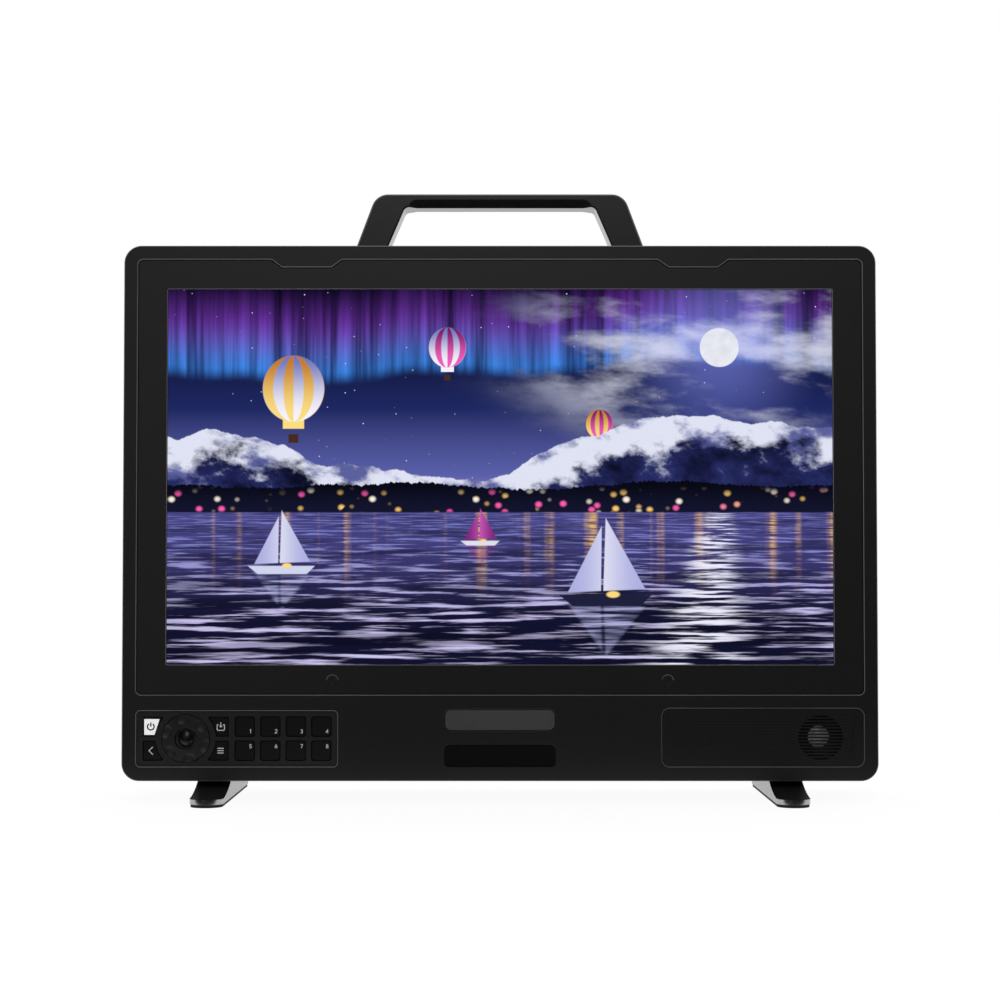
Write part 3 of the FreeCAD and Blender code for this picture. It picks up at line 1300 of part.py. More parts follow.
def speaker():
    """Grooved grille, open only before the small speaker: basket with magnet, and moving cone."""
    grille = Piece("speaker_grille")
    plate = grille.draw("XZ", "grille_front")
    plate.rectangle("grille_x", "grille_z", "grille_width - 2 * inset_gap",
                    "grille_height - 2 * inset_gap", "(grille_corner - inset_gap)")
    grille.grow(plate, "grille_back")
    mouth = grille.draw("XZ", "grille_front + slat_depth").circle("speaker_x", "grille_z", "cone_radius")
    grille.sink(mouth, "grille_back")
    slot = grille.draw("XZ", "grille_front")
    slot.rectangle("grille_x", "grille_z - slat_pitch * (slot_count - 1) / 2",
                   "grille_width - 2 * slot_end", "slot_height")
    grille.repeat([grille.sink(slot, "grille_front + slat_depth")], slot, "V_Axis", "slat_pitch",
                  "slot_count")

    basket = Piece("speaker_basket")
    dish = basket.draw("XY", "grille_z", ("speaker_x", "0"))
    pole = "(coil_radius - cone_wall - coil_gap)"
    throat = "(coil_radius + coil_gap)"
    dish.path(("cone_radius + coil_gap", "face_back"), ("speaker_radius", "face_back"),
              ("speaker_radius", "speaker_flange_back"),
              ("magnet_radius", "basket_back"), ("magnet_radius", "basket_back + magnet_length"),
              ("0", "basket_back + magnet_length"), ("0", "basket_back"), (pole, "basket_back"),
              (pole, "basket_back + coil_length + cone_travel + coil_gap"),
              (throat, "basket_back + coil_length + cone_travel + coil_gap"), (throat, "basket_back"),
              ("magnet_radius - basket_wall", "basket_back"),
              ("cone_radius + coil_gap", "speaker_flange_back"))
    basket.turn(dish)

    cone = Piece("speaker_cone")
    flare = cone.draw("XY", "grille_z", ("speaker_x", "0"))
    flare.path(("0", "cone_back - dome_height"), ("cone_throat / 2", "cone_back - dome_height * 3 / 4"),
               ("cone_throat", "cone_back"), ("cone_radius", "cone_front"),
               ("cone_radius", "cone_front + cone_wall"), ("cone_throat", "cone_back + cone_wall"),
               ("coil_radius", "cone_back + cone_wall"), ("coil_radius", "basket_back + coil_length"),
               ("coil_radius - cone_wall", "basket_back + coil_length"),
               ("coil_radius - cone_wall", "cone_back + cone_wall"),
               ("cone_throat / 2", "cone_back + cone_wall - dome_height * 3 / 4"),
               ("0", "cone_back + cone_wall - dome_height"))
    cone.turn(flare)


def rear_cover():
    """Hollow back with chamfered edges, two vents, the mount pad, the connector window and screw bosses."""
    piece = Piece("rear_cover")
    back = piece.draw("XZ", "split")
    back.rectangle("0", "middle", "body_width", "body_height", "body_corner")
    piece.grow(back, "rear")
    piece.dress("Chamfer", lies_at("Y", "rear"), "rear_chamfer")
    doc.recompute()
    base = piece.body.Tip
    is_seam = lies_at("Y", "split")
    seam = [f"Face{i}" for i, face in enumerate(base.Shape.Faces, 1) if is_seam(face)]
    shell = piece.feature("Thickness")
    shell.Base = (base, seam)
    shell.Reversed = True
    shell.Join = "Intersection"
    shell.setExpression("Value", formula("rear_wall"))

    inside = "rear_inside + rear_wall / 2"
    bosses = piece.draw("XZ", "split")
    for x, z in COVER_SCREWS:
        bosses.rectangle(x, z, "boss_width", "boss_width")
    piece.grow(bosses, inside)
    mounts = circles(piece.draw("XZ", "rear_inside - mount_boss_length"), MOUNT_HOLES, "mount_boss")
    piece.grow(mounts, inside)
    pad = piece.draw("XZ", inside)
    pad.rectangle("0", "mount_z", "mount_pad", "mount_pad", "wall")
    piece.grow(pad, "mount_face")
    rails = piece.draw("XZ", "port_inside")
    for sign in ("-1", "1"):
        rails.rectangle("0", f"port_z + {sign} * (port_height / 2 + port_lap + port_gap + port_rib / 2)",
                        "port_width", "port_rib")
    piece.grow(rails, inside)

    piece.sink(circles(piece.draw("XZ", "split"), COVER_SCREWS, "small_hole"), "rear")
    seat = "rear - counterbore_depth"
    heads = circles(piece.draw("XZ", seat), COVER_SCREWS, "small_head + head_clearance")
    piece.sink(heads, "rear")
    tapped = circles(piece.draw("XZ", "mount_face - mount_hole_depth"), MOUNT_HOLES, "mount_hole")
    piece.sink(tapped, "mount_face")
    window = piece.draw("XZ", "port_face")
    window.rectangle("0", "port_z", "port_width", "port_height", "port_corner")
    piece.sink(window, "rear")
    vent = piece.draw("XZ", "rear_inside")
    for sign in ("-1", "1"):
        level = "vent_z - vent_pitch * (vent_count - 1) / 2"
        ends = [f"{sign} * vent_x + {way} * (vent_length / 2 - vent_radius)" for way in ("-1", "1")]
        vent.slot((ends[0], level), (ends[1], level), "vent_radius")
    piece.repeat([piece.sink(vent, "rear")], vent, "V_Axis", "vent_pitch", "vent_count")

    group("rear_cover_screws", [
        screw("cover_screw", "y", (x, seat, z), -1, "small_head", "small_head_height", "small_screw",
              f"{seat} - split + cover_screw_grip")
        for x, z in COVER_SCREWS
    ])


def fan():
    """Fan behind the right-hand vent: frame with spokes and shaft, and a rotor with twisted blades."""
    frame = Piece("fan_frame")
    box = frame.draw("XZ", "fan_front")
    box.rectangle("vent_x", "vent_z", "fan_size", "fan_size", "fan_corner")
    frame.grow(box, "rear_inside")
    duct = frame.draw("XZ", "fan_front").circle("vent_x", "vent_z", "fan_duct")
    frame.sink(duct, "rear_inside")
    spokes = frame.draw("XZ", "spoke_front")
    spokes.rectangle("vent_x", "vent_z", "fan_size - wall", "fan_spoke")
    frame.grow(spokes, "rear_inside")
    posts = frame.draw("XZ", "spoke_front")
    posts.rectangle("vent_x", "vent_z", "fan_spoke", "fan_size - wall")
    frame.grow(posts, "rear_inside")
    frame.grow(frame.draw("XZ", "spoke_front").circle("vent_x", "vent_z", "fan_hub"), "rear_inside")
    shaft = frame.draw("XZ", "rotor_back - shaft_seat").circle("vent_x", "vent_z", "fan_shaft")
    frame.grow(shaft, "spoke_front")

    rotor = Piece("fan_rotor")
    hub = rotor.draw("XY", "vent_z", ("vent_x", "0"))
    bore = "(fan_shaft + running_clearance)"
    bore_end = "rotor_back - shaft_seat - rotor_gap"
    hub.path(("0", "rotor_front"), ("fan_hub", "rotor_front"), ("fan_hub", "rotor_back"),
             (bore, "rotor_back"), (bore, bore_end), ("0", bore_end))
    rotor.turn(hub)
    sections = []
    for level, rise in (("vent_x + fan_hub - blade_thickness", "blade_root_rise"),
                        ("vent_x + blade_tip", "blade_tip_rise")):
        chord = rotor.draw("YZ", level)
        low, high = f"vent_z - {rise} / 2", f"vent_z + {rise} / 2"
        fore, aft = "rotor_front + blade_thickness", "rotor_back - blade_thickness"
        chord.path((fore, low), (aft, high), (aft, f"{high} + blade_thickness"),
                   (fore, f"{low} + blade_thickness"))
        sections.append(chord)
    blade = rotor.feature("AdditiveLoft", sections[0])
    blade.Sections = [sections[1].sketch]
    blade.Ruled = True
    rotor.ring([blade], hub, "blade_count")


def shell_socket(label, shift, outline, mouth, tongue_level):
    """Metal-shelled socket: a sleeve through the connector panel with a contact tongue in its mouth."""
    piece = Piece(label)
    piece.grow(outline(piece.draw("XZ", "socket_front"), "0"), "socket_end")
    piece.sink(outline(piece.draw("XZ", "socket_end - socket_depth"), "-socket_wall"), "socket_end")
    tongue = piece.draw("XZ", "socket_end - socket_depth - socket_wall")
    tongue.rectangle(shift, tongue_level, mouth, "socket_tongue")
    piece.grow(tongue, "socket_end - socket_proud")


def video_outline(outline, spread):
    """Flat socket outline with bevelled lower corners."""
    side = f"(video_width / 2 + {spread})"
    low, high = f"(port_z - video_height / 2 - ({spread}))", f"port_z + video_height / 2 + {spread}"
    return outline.path((f"video_shift - {side} + video_bevel", low),
                        (f"video_shift + {side} - video_bevel", low),
                        (f"video_shift + {side}", f"{low} + video_bevel"),
                        (f"video_shift + {side}", high),
                        (f"video_shift - {side}", high),
                        (f"video_shift - {side}", f"{low} + video_bevel"))


def data_outline(outline, spread):
    return outline.rectangle("data_shift", "port_z", f"data_width + 2 * ({spread})",
                             f"data_height + 2 * ({spread})")


def connectors():
    """Panel in the window of the rear cover, with the power inlet, coaxial jacks and sockets."""
    panel = Piece("connector_panel")
    plate = panel.draw("XZ", "port_inside")
    plate.rectangle("0", "port_z", "port_width + 2 * port_lap", "port_height + 2 * port_lap")
    panel.grow(plate, "port_face")
    jacks = [f"coax_start + {number} * coax_pitch" for number in range(int(value("coax_count")))]
    holes = panel.draw("XZ", "port_inside")
    circles(holes, [(x, "port_z") for x in jacks], "coax_barrel + port_gap")
    holes.circle("inlet_shift", "port_z", "inlet_radius + port_gap")
    holes.circle("jack_shift", "port_z", "jack_radius + port_gap")
    video_outline(holes, "port_gap")
    data_outline(holes, "port_gap")
    holes.rectangle("net_shift", "port_z", "net_width + 2 * port_gap", "net_height + 2 * port_gap")
    panel.sink(holes, "port_face")

    barrels = []
    for x in jacks:
        body = rod("coax_body", "y", "coax_body", "coax_body_length", x,
                   "port_inside - coax_body_length", "port_z")
        barrel = rod("coax_barrel", "y", "coax_barrel", "coax_length + port_panel", x, "port_inside",
                     "port_z")
        nut = doc.addObject("Part::Prism", "coax_nut")
        nut.Polygon = 6
        nut.setExpression("Circumradius", formula("coax_nut"))
        nut.setExpression("Height", formula("coax_nut_height"))
        place(nut, x, "port_face", "port_z", TURNS["y"])
        lug_span = "2 * (coax_barrel + coax_lug_reach)"
        lugs = rod("coax_lugs", "z", "coax_lug", lug_span, x, "port_face + coax_length * 2 / 3",
                   f"port_z - ({lug_span}) / 2")
        bore = rod("coax_bore", "y", "coax_bore", "coax_depth", x,
                   "port_face + coax_length - coax_depth", "port_z")
        core = rod("coax_core", "y", "coax_core", "coax_depth - coax_core_sink", x,
                   "port_face + coax_length - coax_depth", "port_z")
        shell = cut("coax_shell", fuse("coax_stock", body, barrel, nut, lugs), bore)
        barrels.append(fuse("coax_jack", shell, core))
    group("coax_jacks", barrels)

    inlet = Piece("power_inlet")
    flange = inlet.draw("XZ", "port_face")
    flange.rectangle("inlet_shift", "port_z", "inlet_flange_width", "inlet_flange_height", "port_corner")
    flange_face = "port_face + inlet_flange_thickness"
    inlet.grow(flange, flange_face)
    drum = inlet.draw("XZ", "port_inside - inlet_length").circle("inlet_shift", "port_z", "inlet_radius")
    inlet.grow(drum, flange_face)
    mouth = inlet.draw("XZ", f"{flange_face} - inlet_depth").circle("inlet_shift", "port_z", "inlet_bore")
    inlet.sink(mouth, flange_face)
    floor = f"{flange_face} - inlet_depth"
    pins = []
    for number in range(int(value("pin_count"))):
        angle = f"(45 + 360 * {number} / pin_count) * 1 deg"
        pins.append((f"inlet_shift + pin_ring * cos({angle})", f"port_z + pin_ring * sin({angle})"))
    pin_seat = f"{floor} - wall"
    inlet.sink(circles(inlet.draw("XZ", pin_seat), pins, "pin_radius"), floor)
    group("power_inlet_pins", [
        rod("power_pin", "y", "pin_radius", "pin_length + wall", x, pin_seat, z) for x, z in pins
    ])

    shell_socket("video_socket", "video_shift", video_outline, "video_width - 6 * socket_wall",
                 "port_z + video_height / 2 - socket_wall - 1.5 * socket_tongue")
    shell_socket("data_socket", "data_shift", data_outline, "data_width - 4 * socket_wall",
                 "port_z + data_height / 2 - socket_wall - socket_tongue")

    network = Piece("network_socket")
    case = network.draw("XZ", "socket_front")
    network.grow(case.rectangle("net_shift", "port_z", "net_width", "net_height"), "socket_end")
    mouth = network.draw("XZ", "socket_end - socket_depth")
    network.sink(mouth.rectangle("net_shift", "port_z", "net_mouth_width", "net_mouth_height"),
                 "socket_end")
    latch = network.draw("XZ", "socket_end - socket_depth")
    latch.rectangle("net_shift", "port_z - net_mouth_height / 2", "net_latch_width",
                    "2 * net_latch_height")
    network.sink(latch, "socket_end")

    phones = Piece("headphone_jack")
    barrel = phones.draw("XY", "port_z", ("jack_shift", "0"))
    mouth_level = "port_face + jack_proud"
    barrel.path(("jack_bore", mouth_level), ("jack_radius", mouth_level),
                ("jack_radius", "port_inside - jack_length"), ("0", "port_inside - jack_length"),
                ("0", f"{mouth_level} - jack_depth"), ("jack_bore", f"{mouth_level} - jack_depth"))
    phones.turn(barrel)


def check_model():
    """Stops on a failed object, a cut that removed nothing, or a sub-part that is not sound."""
    for made in doc.Objects:
        if {"Invalid", "Error"} & set(made.State):
            raise RuntimeError(f"{made.Label}: {made.State}")
        if made.TypeId in ("PartDesign::Pocket", "PartDesign::Groove"):
            if made.BaseFeature.Shape.Volume - made.Shape.Volume < 1e-6:
                raise RuntimeError(f"{made.Label} cuts nothing")
    for label, made in PARTS.items():
        if made.Shape.isNull() or not made.Shape.isValid() or not made.Shape.Solids:
            raise RuntimeError(f"{label} has no sound shape")
        if made.TypeId == "PartDesign::Body" and len(made.Shape.Solids) != 1:
            raise RuntimeError(f"{label} fell into {len(made.Shape.Solids)} solids")


def main():
    for build in (front_chassis, screen, boards, handle, feet, control_panel, buttons, keypad,
                  jog_wheel, joystick, tally_and_plate, speaker, rear_cover, fan, connectors):
        build()
        doc.recompute()
    check_model()
    os.makedirs("parts", exist_ok=True)
    for label, made in PARTS.items():
        made.Shape.exportStep(f"parts/{label}.step")
    print(f"{len(PARTS)} sub-parts written")


main()
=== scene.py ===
# %% [markdown]
# # A field production monitor, dressed in Blender
# The solids of this monitor come from a packed CAD model, in metres, with the ground at z = 0.
# This lesson keeps every solid where it is and gives it a finish: satin black metal, rubber keys,
# glass, nickel. It then adds what a CAD model leaves out: the picture on the screen, the legends on
# the keys and the sockets of the screws on the back.

# %% load the packed model
import math

import bpy
import numpy as np
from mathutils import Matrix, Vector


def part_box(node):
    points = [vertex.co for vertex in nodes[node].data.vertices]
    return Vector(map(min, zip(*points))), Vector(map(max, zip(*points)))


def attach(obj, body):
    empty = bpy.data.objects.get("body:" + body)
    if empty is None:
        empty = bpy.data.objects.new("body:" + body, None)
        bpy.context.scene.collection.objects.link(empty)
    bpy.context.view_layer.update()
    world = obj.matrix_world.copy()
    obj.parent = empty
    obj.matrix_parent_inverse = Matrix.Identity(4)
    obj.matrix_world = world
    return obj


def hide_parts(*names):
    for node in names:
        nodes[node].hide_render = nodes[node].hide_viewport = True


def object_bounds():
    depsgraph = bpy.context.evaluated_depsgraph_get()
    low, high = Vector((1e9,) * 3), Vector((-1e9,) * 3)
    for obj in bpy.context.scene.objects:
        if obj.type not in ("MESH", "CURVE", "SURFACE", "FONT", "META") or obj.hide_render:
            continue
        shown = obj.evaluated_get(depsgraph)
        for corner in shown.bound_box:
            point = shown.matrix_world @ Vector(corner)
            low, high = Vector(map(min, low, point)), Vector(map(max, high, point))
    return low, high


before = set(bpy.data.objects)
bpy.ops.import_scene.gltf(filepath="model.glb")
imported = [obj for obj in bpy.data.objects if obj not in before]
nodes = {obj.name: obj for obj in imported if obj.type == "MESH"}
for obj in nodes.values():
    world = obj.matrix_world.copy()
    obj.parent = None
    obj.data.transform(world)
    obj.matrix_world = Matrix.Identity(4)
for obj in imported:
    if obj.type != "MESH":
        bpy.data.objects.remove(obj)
cad_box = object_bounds()
MM = 0.001

# %% [markdown]
# ## The camera
# The photo looks at the screen almost square on, from a little above the table and slightly upwards.
# A camera could be aimed with a constraint, but two numbers say it more plainly: how high it stands
# and how far it tips up. The lens follows from how wide the monitor sits in the frame.

# %% camera
CAMERA_DISTANCE = 1.294
CAMERA_HEIGHT = 0.1288
CAMERA_TIP_UP = math.radians(2.01)
LENS_MM = 78.88

lens = bpy.data.cameras.new("camera")
lens.lens = LENS_MM
lens.sensor_width = 36.0
camera = bpy.data.objects.new("camera", lens)
camera.location = (0.0, -CAMERA_DISTANCE, CAMERA_HEIGHT)
camera.rotation_euler = (math.pi / 2 + CAMERA_TIP_UP, 0.0, 0.0)
bpy.context.scene.collection.objects.link(camera)
bpy.context.scene.camera = camera
bpy.context.scene.view_settings.view_transform = "Standard"
print(f"camera {CAMERA_DISTANCE} m in front, {LENS_MM} mm lens")

# %% [markdown]
# ## Shader maths as Python
# A shader is a graph of nodes, and a long formula soon becomes a tangle of links. One small class
# wraps an output socket, so that `1 - mask` or `height * 0.4` adds its own Math node. Every other
# node comes from one method, `add`.


# %% the wire
class Wire:
    """An output socket used as a value. Operators add Math nodes; add() brings in any other node."""

    def __init__(self, tree, socket=None):
        self.tree = tree
        self.socket = socket

    def add(self, kind, settings=None, inputs=None, out=0):
        """Adds a node: its settings first, then values or links for its sockets."""
        node = self.tree.nodes.new(kind)
        for name, value in (settings or {}).items():
            if name == "stops":
                stops = node.color_ramp.elements
                stops.remove(stops[-1])
                stops[0].position, stops[0].color = value[0]
                for at, colour in value[1:]:
                    stops.new(at).color = colour
            else:
                setattr(node, name, value)
        for name, value in (inputs or {}).items():
            if isinstance(value, Wire):
                self.tree.links.new(value.socket, node.inputs[name])
            else:
                node.inputs[name].default_value = value
        return Wire(self.tree, node.outputs[out] if node.outputs else None)

    def math(self, operation, first, *others):
        return self.add("ShaderNodeMath", {"operation": operation}, dict(enumerate((first, *others))))

    def axis(self, name):
        return self.add("ShaderNodeSeparateXYZ", None, {0: self}, name)

    def __add__(self, other):
        return self.math("ADD", self, other)

    def __sub__(self, other):
        return self.math("SUBTRACT", self, other)

    def __mul__(self, other):
        return self.math("MULTIPLY", self, other)

    def __truediv__(self, other):
        return self.math("DIVIDE", self, other)

    def __pow__(self, other):
        return self.math("POWER", self, other)

    def __radd__(self, other):
        return self.math("ADD", other, self)

    def __rsub__(self, other):
        return self.math("SUBTRACT", other, self)

    def __rmul__(self, other):
        return self.math("MULTIPLY", other, self)

    def __neg__(self):
        return self.math("MULTIPLY", self, -1.0)

    def __abs__(self):
        return self.math("ABSOLUTE", self)


print("a wire adds nodes by", ", ".join(name for name in vars(Wire) if name[0] != "_"))


# %% colours, masks and textures
def srgb(red, green, blue):
    """A colour as it looks on a screen, 0 to 255, as linear light."""
    share = np.array([red, green, blue]) / 255.0
    light = np.where(share > 0.04045, ((share + 0.055) / 1.055) ** 2.4, share / 12.92)
    return (*map(float, light), 1.0)


def fade(value, low, high):
    """0 at low, 1 at high, with a smooth step between; low may be the larger one."""
    return value.add("ShaderNodeMapRange", {"interpolation_type": "SMOOTHSTEP"},
                     {"Value": value, "From Min": low, "From Max": high}, "Result")


def within(value, low, high, soft):
    """1 between low and high, with a soft step just inside each end."""
    return fade(value, low, low + soft) * fade(value, high, high - soft)


def apart(across, along):
    """Length of the diagonal over two distances."""
    return (across * across + along * along) ** 0.5


def blend(share, under, over):
    """Colour that goes from one to the other with share."""
    return share.add("ShaderNodeMix", {"data_type": "RGBA"}, {0: share, 6: under, 7: over}, 2)


def noise(at, scale, detail=2.0, roughness=0.5):
    """Smooth random value about 0.5; scale counts features per metre."""
    return at.add("ShaderNodeTexNoise", None,
                  {"Vector": at, "Scale": scale, "Detail": detail, "Roughness": roughness}, 0)


def bump(height, depth):
    """Normal of a surface with that height, depth metres from 0 to 1."""
    return height.add("ShaderNodeBump", None, {"Height": height, "Distance": depth, "Strength": 1.0}, 0)


print(f"half grey on a screen is {srgb(128, 128, 128)[0]:.3f} of white's light")


# %% materials
def start(name):
    """A new node material, and a wire with Object coordinates in metres."""
    made = bpy.data.materials.new(name)
    made.use_nodes = True
    made.node_tree.nodes.clear()
    return made, Wire(made.node_tree).add("ShaderNodeTexCoord", out="Object")


def close(at, sockets):
    """Ends a material in a Principled shader with these values and links."""
    shader = at.add("ShaderNodeBsdfPrincipled", None, sockets)
    at.add("ShaderNodeOutputMaterial", None, {"Surface": shader})


def dress(material, *names):
    """Gives CAD nodes a material."""
    for name in names:
        nodes[name].data.materials.clear()
        nodes[name].data.materials.append(material)
    print(f"{material.name}: {', '.join(names)}")


# %% [markdown]
# ## Stage and light
# The photo has a pure white ground, while the black front stays dark: whatever stands behind the
# camera is dark too, and white card surrounds the rest. Many lamps could do that, but one world is
# simpler: white behind, above and beside the monitor, it falls off towards the camera's side, which
# is why milled edges shine while flat fronts don't. The floor glows white for the camera and keeps
# some of its own shade, so that a contact shadow stays. In reflections it is white under and behind
# the monitor and dark in front of it, like a dark cloth laid there.

# %% world
world = bpy.data.worlds.new("studio")
world.use_nodes = True
world.node_tree.nodes.clear()
sky = Wire(world.node_tree).add("ShaderNodeTexCoord", out="Generated")
ray = "ShaderNodeLightPath"
FRONT_CARD, SIDE_CARD = 0.03, 0.95
CARD_STARTS, CARD_FULL = -0.3, 0.15
card = fade(sky.axis("Y"), CARD_STARTS, CARD_FULL) * (SIDE_CARD - FRONT_CARD) + FRONT_CARD
seen = sky.add(ray, out="Is Camera Ray")
level = card + seen * (1.0 - card)
light = sky.add("ShaderNodeBackground", None, {"Color": (1.0, 1.0, 1.0, 1.0), "Strength": level})
sky.add("ShaderNodeOutputWorld", None, {"Surface": light})
bpy.context.scene.world = world
print("world: white for the camera, dark card in front of the screen")

# %% floor
FLOOR_HALF = 12.0
OWN_SHADE = 0.12
FLOOR_GLOW = 1.07
CLOTH_FULL, CLOTH_ENDS = -0.086, -0.07
corners = np.array([(-1, -1, 0), (1, -1, 0), (1, 1, 0), (-1, 1, 0)]) * FLOOR_HALF
floor_mesh = bpy.data.meshes.new("floor")
floor_mesh.from_pydata(corners.tolist(), [], [(0, 1, 2, 3)])
floor = bpy.data.objects.new("floor", floor_mesh)
bpy.context.scene.collection.objects.link(floor)
floor_white, at = start("floor_white")
mirrored = at.math("MAXIMUM", at.add(ray, out="Is Glossy Ray"), at.add(ray, out="Is Transmission Ray"))
cloth = fade(at.axis("Y"), CLOTH_FULL, CLOTH_ENDS) * (SIDE_CARD - FRONT_CARD) + FRONT_CARD
matt = at.add("ShaderNodeBsdfDiffuse", None, {"Color": (0.9, 0.9, 0.9, 1.0)})
glow = at.add("ShaderNodeEmission", None, {"Color": (1.0, 1.0, 1.0, 1.0), "Strength": FLOOR_GLOW})
echo = at.add("ShaderNodeEmission", None, {"Color": (1.0, 1.0, 1.0, 1.0), "Strength": cloth})
direct = at.add("ShaderNodeMixShader", None,
                {0: at.add(ray, out="Is Camera Ray") * (1.0 - OWN_SHADE), 1: matt, 2: glow})
both = at.add("ShaderNodeMixShader", None, {0: mirrored, 1: direct, 2: echo})
at.add("ShaderNodeOutputMaterial", None, {"Surface": both})
floor_mesh.materials.append(floor_white)
print(f"floor {2 * FLOOR_HALF:g} m wide")


# %% lamps
def softbox(name, place, aim, width, height, watts):
    """Rectangular soft light at a place, turned towards a point."""
    lamp = bpy.data.lights.new(name, "AREA")
    lamp.shape, lamp.size, lamp.size_y, lamp.energy = "RECTANGLE", width, height, watts
    box = bpy.data.objects.new(name, lamp)
    box.location = place
    way = np.array(aim) - np.array(place)
    tip = math.acos(-way[2] / np.linalg.norm(way))
    box.rotation_euler = (tip, 0.0, math.atan2(way[1], way[0]) - math.pi / 2)
    bpy.context.scene.collection.objects.link(box)
    return box


MIDDLE = (0.0, -0.03, 0.19)
softbox("key", (-0.06, -1.7, 1.65), MIDDLE, 0.3, 1.7, 12.0)
softbox("strip", (-0.78, -2.0, 0.14), MIDDLE, 0.2, 0.5, 0.7)
print("two soft lamps: a tall one above the camera, a small one to its left")

# %% [markdown]
# ## Black metal
# The housing, the frame and the handle are milled aluminium with a dark coat. Such a coat is never
# one flat black: it has a fine blasted grain, and the tone drifts a little from place to place. A
# picture of grain could be wrapped round each part, but noise in Object coordinates needs no
# unwrapping and stays put on the metal. The grain also drives a very shallow bump.

# %% coated metal
SLOW_SHARE, FINE_SHARE = 0.14, 0.16
DARKEST, LIGHTEST = 0.88, 1.9
LINE_INSET, LINE_SOFT = 0.02 * MM, 0.06 * MM
PAINTED_HIGHLIGHT_TONES = srgb(92, 92, 94), srgb(150, 150, 153)


def shade(tone, factor):
    """A tone made lighter or darker by a factor."""
    return (*(c * factor for c in tone[:3]), 1.0)


def coated(name, tone, roughness, grain=0.35 * MM, depth=0.012 * MM, edge=None, coat=0.0, gloss=0.5):
    """Dark coat: tone drifts slowly, and a fine grain varies the tone, the roughness and the height.
    edge is a front face, the chamfer behind it and a mask: there a painted highlight lies on the chamfer
    as a brighter line."""
    made, at = start(name)
    slow = noise(at, 9.0, 3.0)
    fine = noise(at, 1.0 / grain, 2.0, 0.6)
    drift = slow * SLOW_SHARE + fine * FINE_SHARE
    colour = blend(drift, shade(tone, DARKEST), shade(tone, LIGHTEST))
    # painted highlight: a brighter, speckled line on each chamfer, standing in for the light the edge
    # catches
    if edge:
        front, chamfer, where = edge
        deep = at.axis("Y") - front
        line = within(deep, LINE_INSET, chamfer + LINE_INSET, LINE_SOFT)
        wear_and_glint = noise(at, 18.0, 3.0) * 0.5 + fine * 0.5
        colour = blend(line * where(at), colour, blend(wear_and_glint, *PAINTED_HIGHLIGHT_TONES))
    close(at, {"Base Color": colour, "Roughness": fine * 0.16 + slow * 0.06 + (roughness - 0.11),
               "Normal": bump(fine, depth), "Coat Weight": coat, "Coat Roughness": 0.12,
               "Specular IOR Level": gloss})
    return made


screw_black = coated("screw_black", srgb(34, 34, 35), 0.4)
dress(coated("housing_black", srgb(24, 24, 25), 0.46), "rear_cover", "connector_panel")
dress(coated("handle_black", srgb(31, 31, 32), 0.42, coat=0.8), "handle")
dress(screw_black, "frame_screws", "rear_cover_screws")
dress(coated("speaker_metal", srgb(40, 40, 40), 0.45), "speaker_basket")

# %% [markdown]
# ## Milled edges with painted highlights
# A cutter breaks every edge of the chassis and the frame, and there a thin bright line catches the
# light. Here that line is a painted highlight in the coat's colour. A map of it could be baked, but the
# edges are known: each lies between the front face and the chamfer's depth behind it. A mask in x and
# z then leaves out the edges that stay dark.


# %% milled edges
def middle(name):
    """x and z of the middle of a node's box."""
    low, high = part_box(name)
    return (low.x + high.x) / 2, (low.z + high.z) / 2


EDGE_ROOM, EDGE_SOFT = 1.5 * MM, 0.5 * MM
CHASSIS_CHAMFER, FRAME_CHAMFER = 0.5 * MM, 0.4 * MM
GRILLE_DIM = 0.35
RING_REACH, RING_SOFT = 4.4 * MM, 0.2 * MM
tally_high, plate_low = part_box("tally_lens")[1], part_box("name_plate")[0]
(grille_low, grille_high), (glass_low, glass_high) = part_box("speaker_grille"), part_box("cover_glass")
screws_high, screw_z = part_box("frame_screws")[1], middle("frame_screws")[1]
screw_x = screws_high.x - (screws_high.z - screw_z)
print(f"frame screws {screw_x:.4f} m to each side, at {screw_z:.4f} m")


def chassis_highlight_mask(at):
    """Where the chassis gets its painted highlight: all milled edges but those round the tally window
    and the plate, with fainter ones round the grille; each area is a box about the piece in it."""
    side, up = at.axis("X"), at.axis("Z")
    half = tally_high.x + EDGE_ROOM
    windows = fade(abs(side), half, half - EDGE_SOFT)
    windows = windows * within(up, plate_low.z - EDGE_ROOM, tally_high.z + EDGE_ROOM, EDGE_SOFT)
    grille = fade(side, grille_low.x - EDGE_ROOM, grille_low.x - EDGE_ROOM + EDGE_SOFT)
    grille = grille * fade(up, grille_high.z + EDGE_ROOM, grille_high.z + EDGE_ROOM - EDGE_SOFT)
    return (1.0 - windows) * (1.0 - grille * GRILLE_DIM)


def frame_highlight_mask(at):
    """Where the frame gets its painted highlight: the edges of its opening, and the upper half of the
    edge round each of its screws, the half that catches the light.
    """
    side, up = abs(at.axis("X")), at.axis("Z")
    half = glass_high.x + EDGE_ROOM
    opening = fade(side, half, half - EDGE_SOFT)
    opening = opening * within(up, glass_low.z - EDGE_ROOM, glass_high.z + EDGE_ROOM, EDGE_SOFT)
    rise = up - screw_z
    ring = fade(apart(side - screw_x, rise), RING_REACH, RING_REACH - RING_SOFT)
    return at.math("MAXIMUM", opening, ring * fade(rise, -EDGE_SOFT / 2, 2 * EDGE_SOFT))


# %% chassis and frame
# the chassis and the frame carry painted highlights on their milled edges
chassis_edge = (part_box("front_chassis")[0].y, CHASSIS_CHAMFER, chassis_highlight_mask)
frame_edge = (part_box("screen_frame")[0].y, FRAME_CHAMFER, frame_highlight_mask)
dress(coated("chassis_black", srgb(24, 24, 25), 0.46, edge=chassis_edge), "front_chassis")
dress(coated("frame_black", srgb(25, 25, 27), 0.44, edge=frame_edge), "screen_frame")

# %% [markdown]
# ## Plastic and rubber
# The control plate is satin plastic, the keys are matt rubber, the nub and the plate under the tally
# window glossy. Each could have a recipe of its own, but at this distance they differ from coated
# metal only in tone, grain and gloss. So the same function serves them with other numbers.

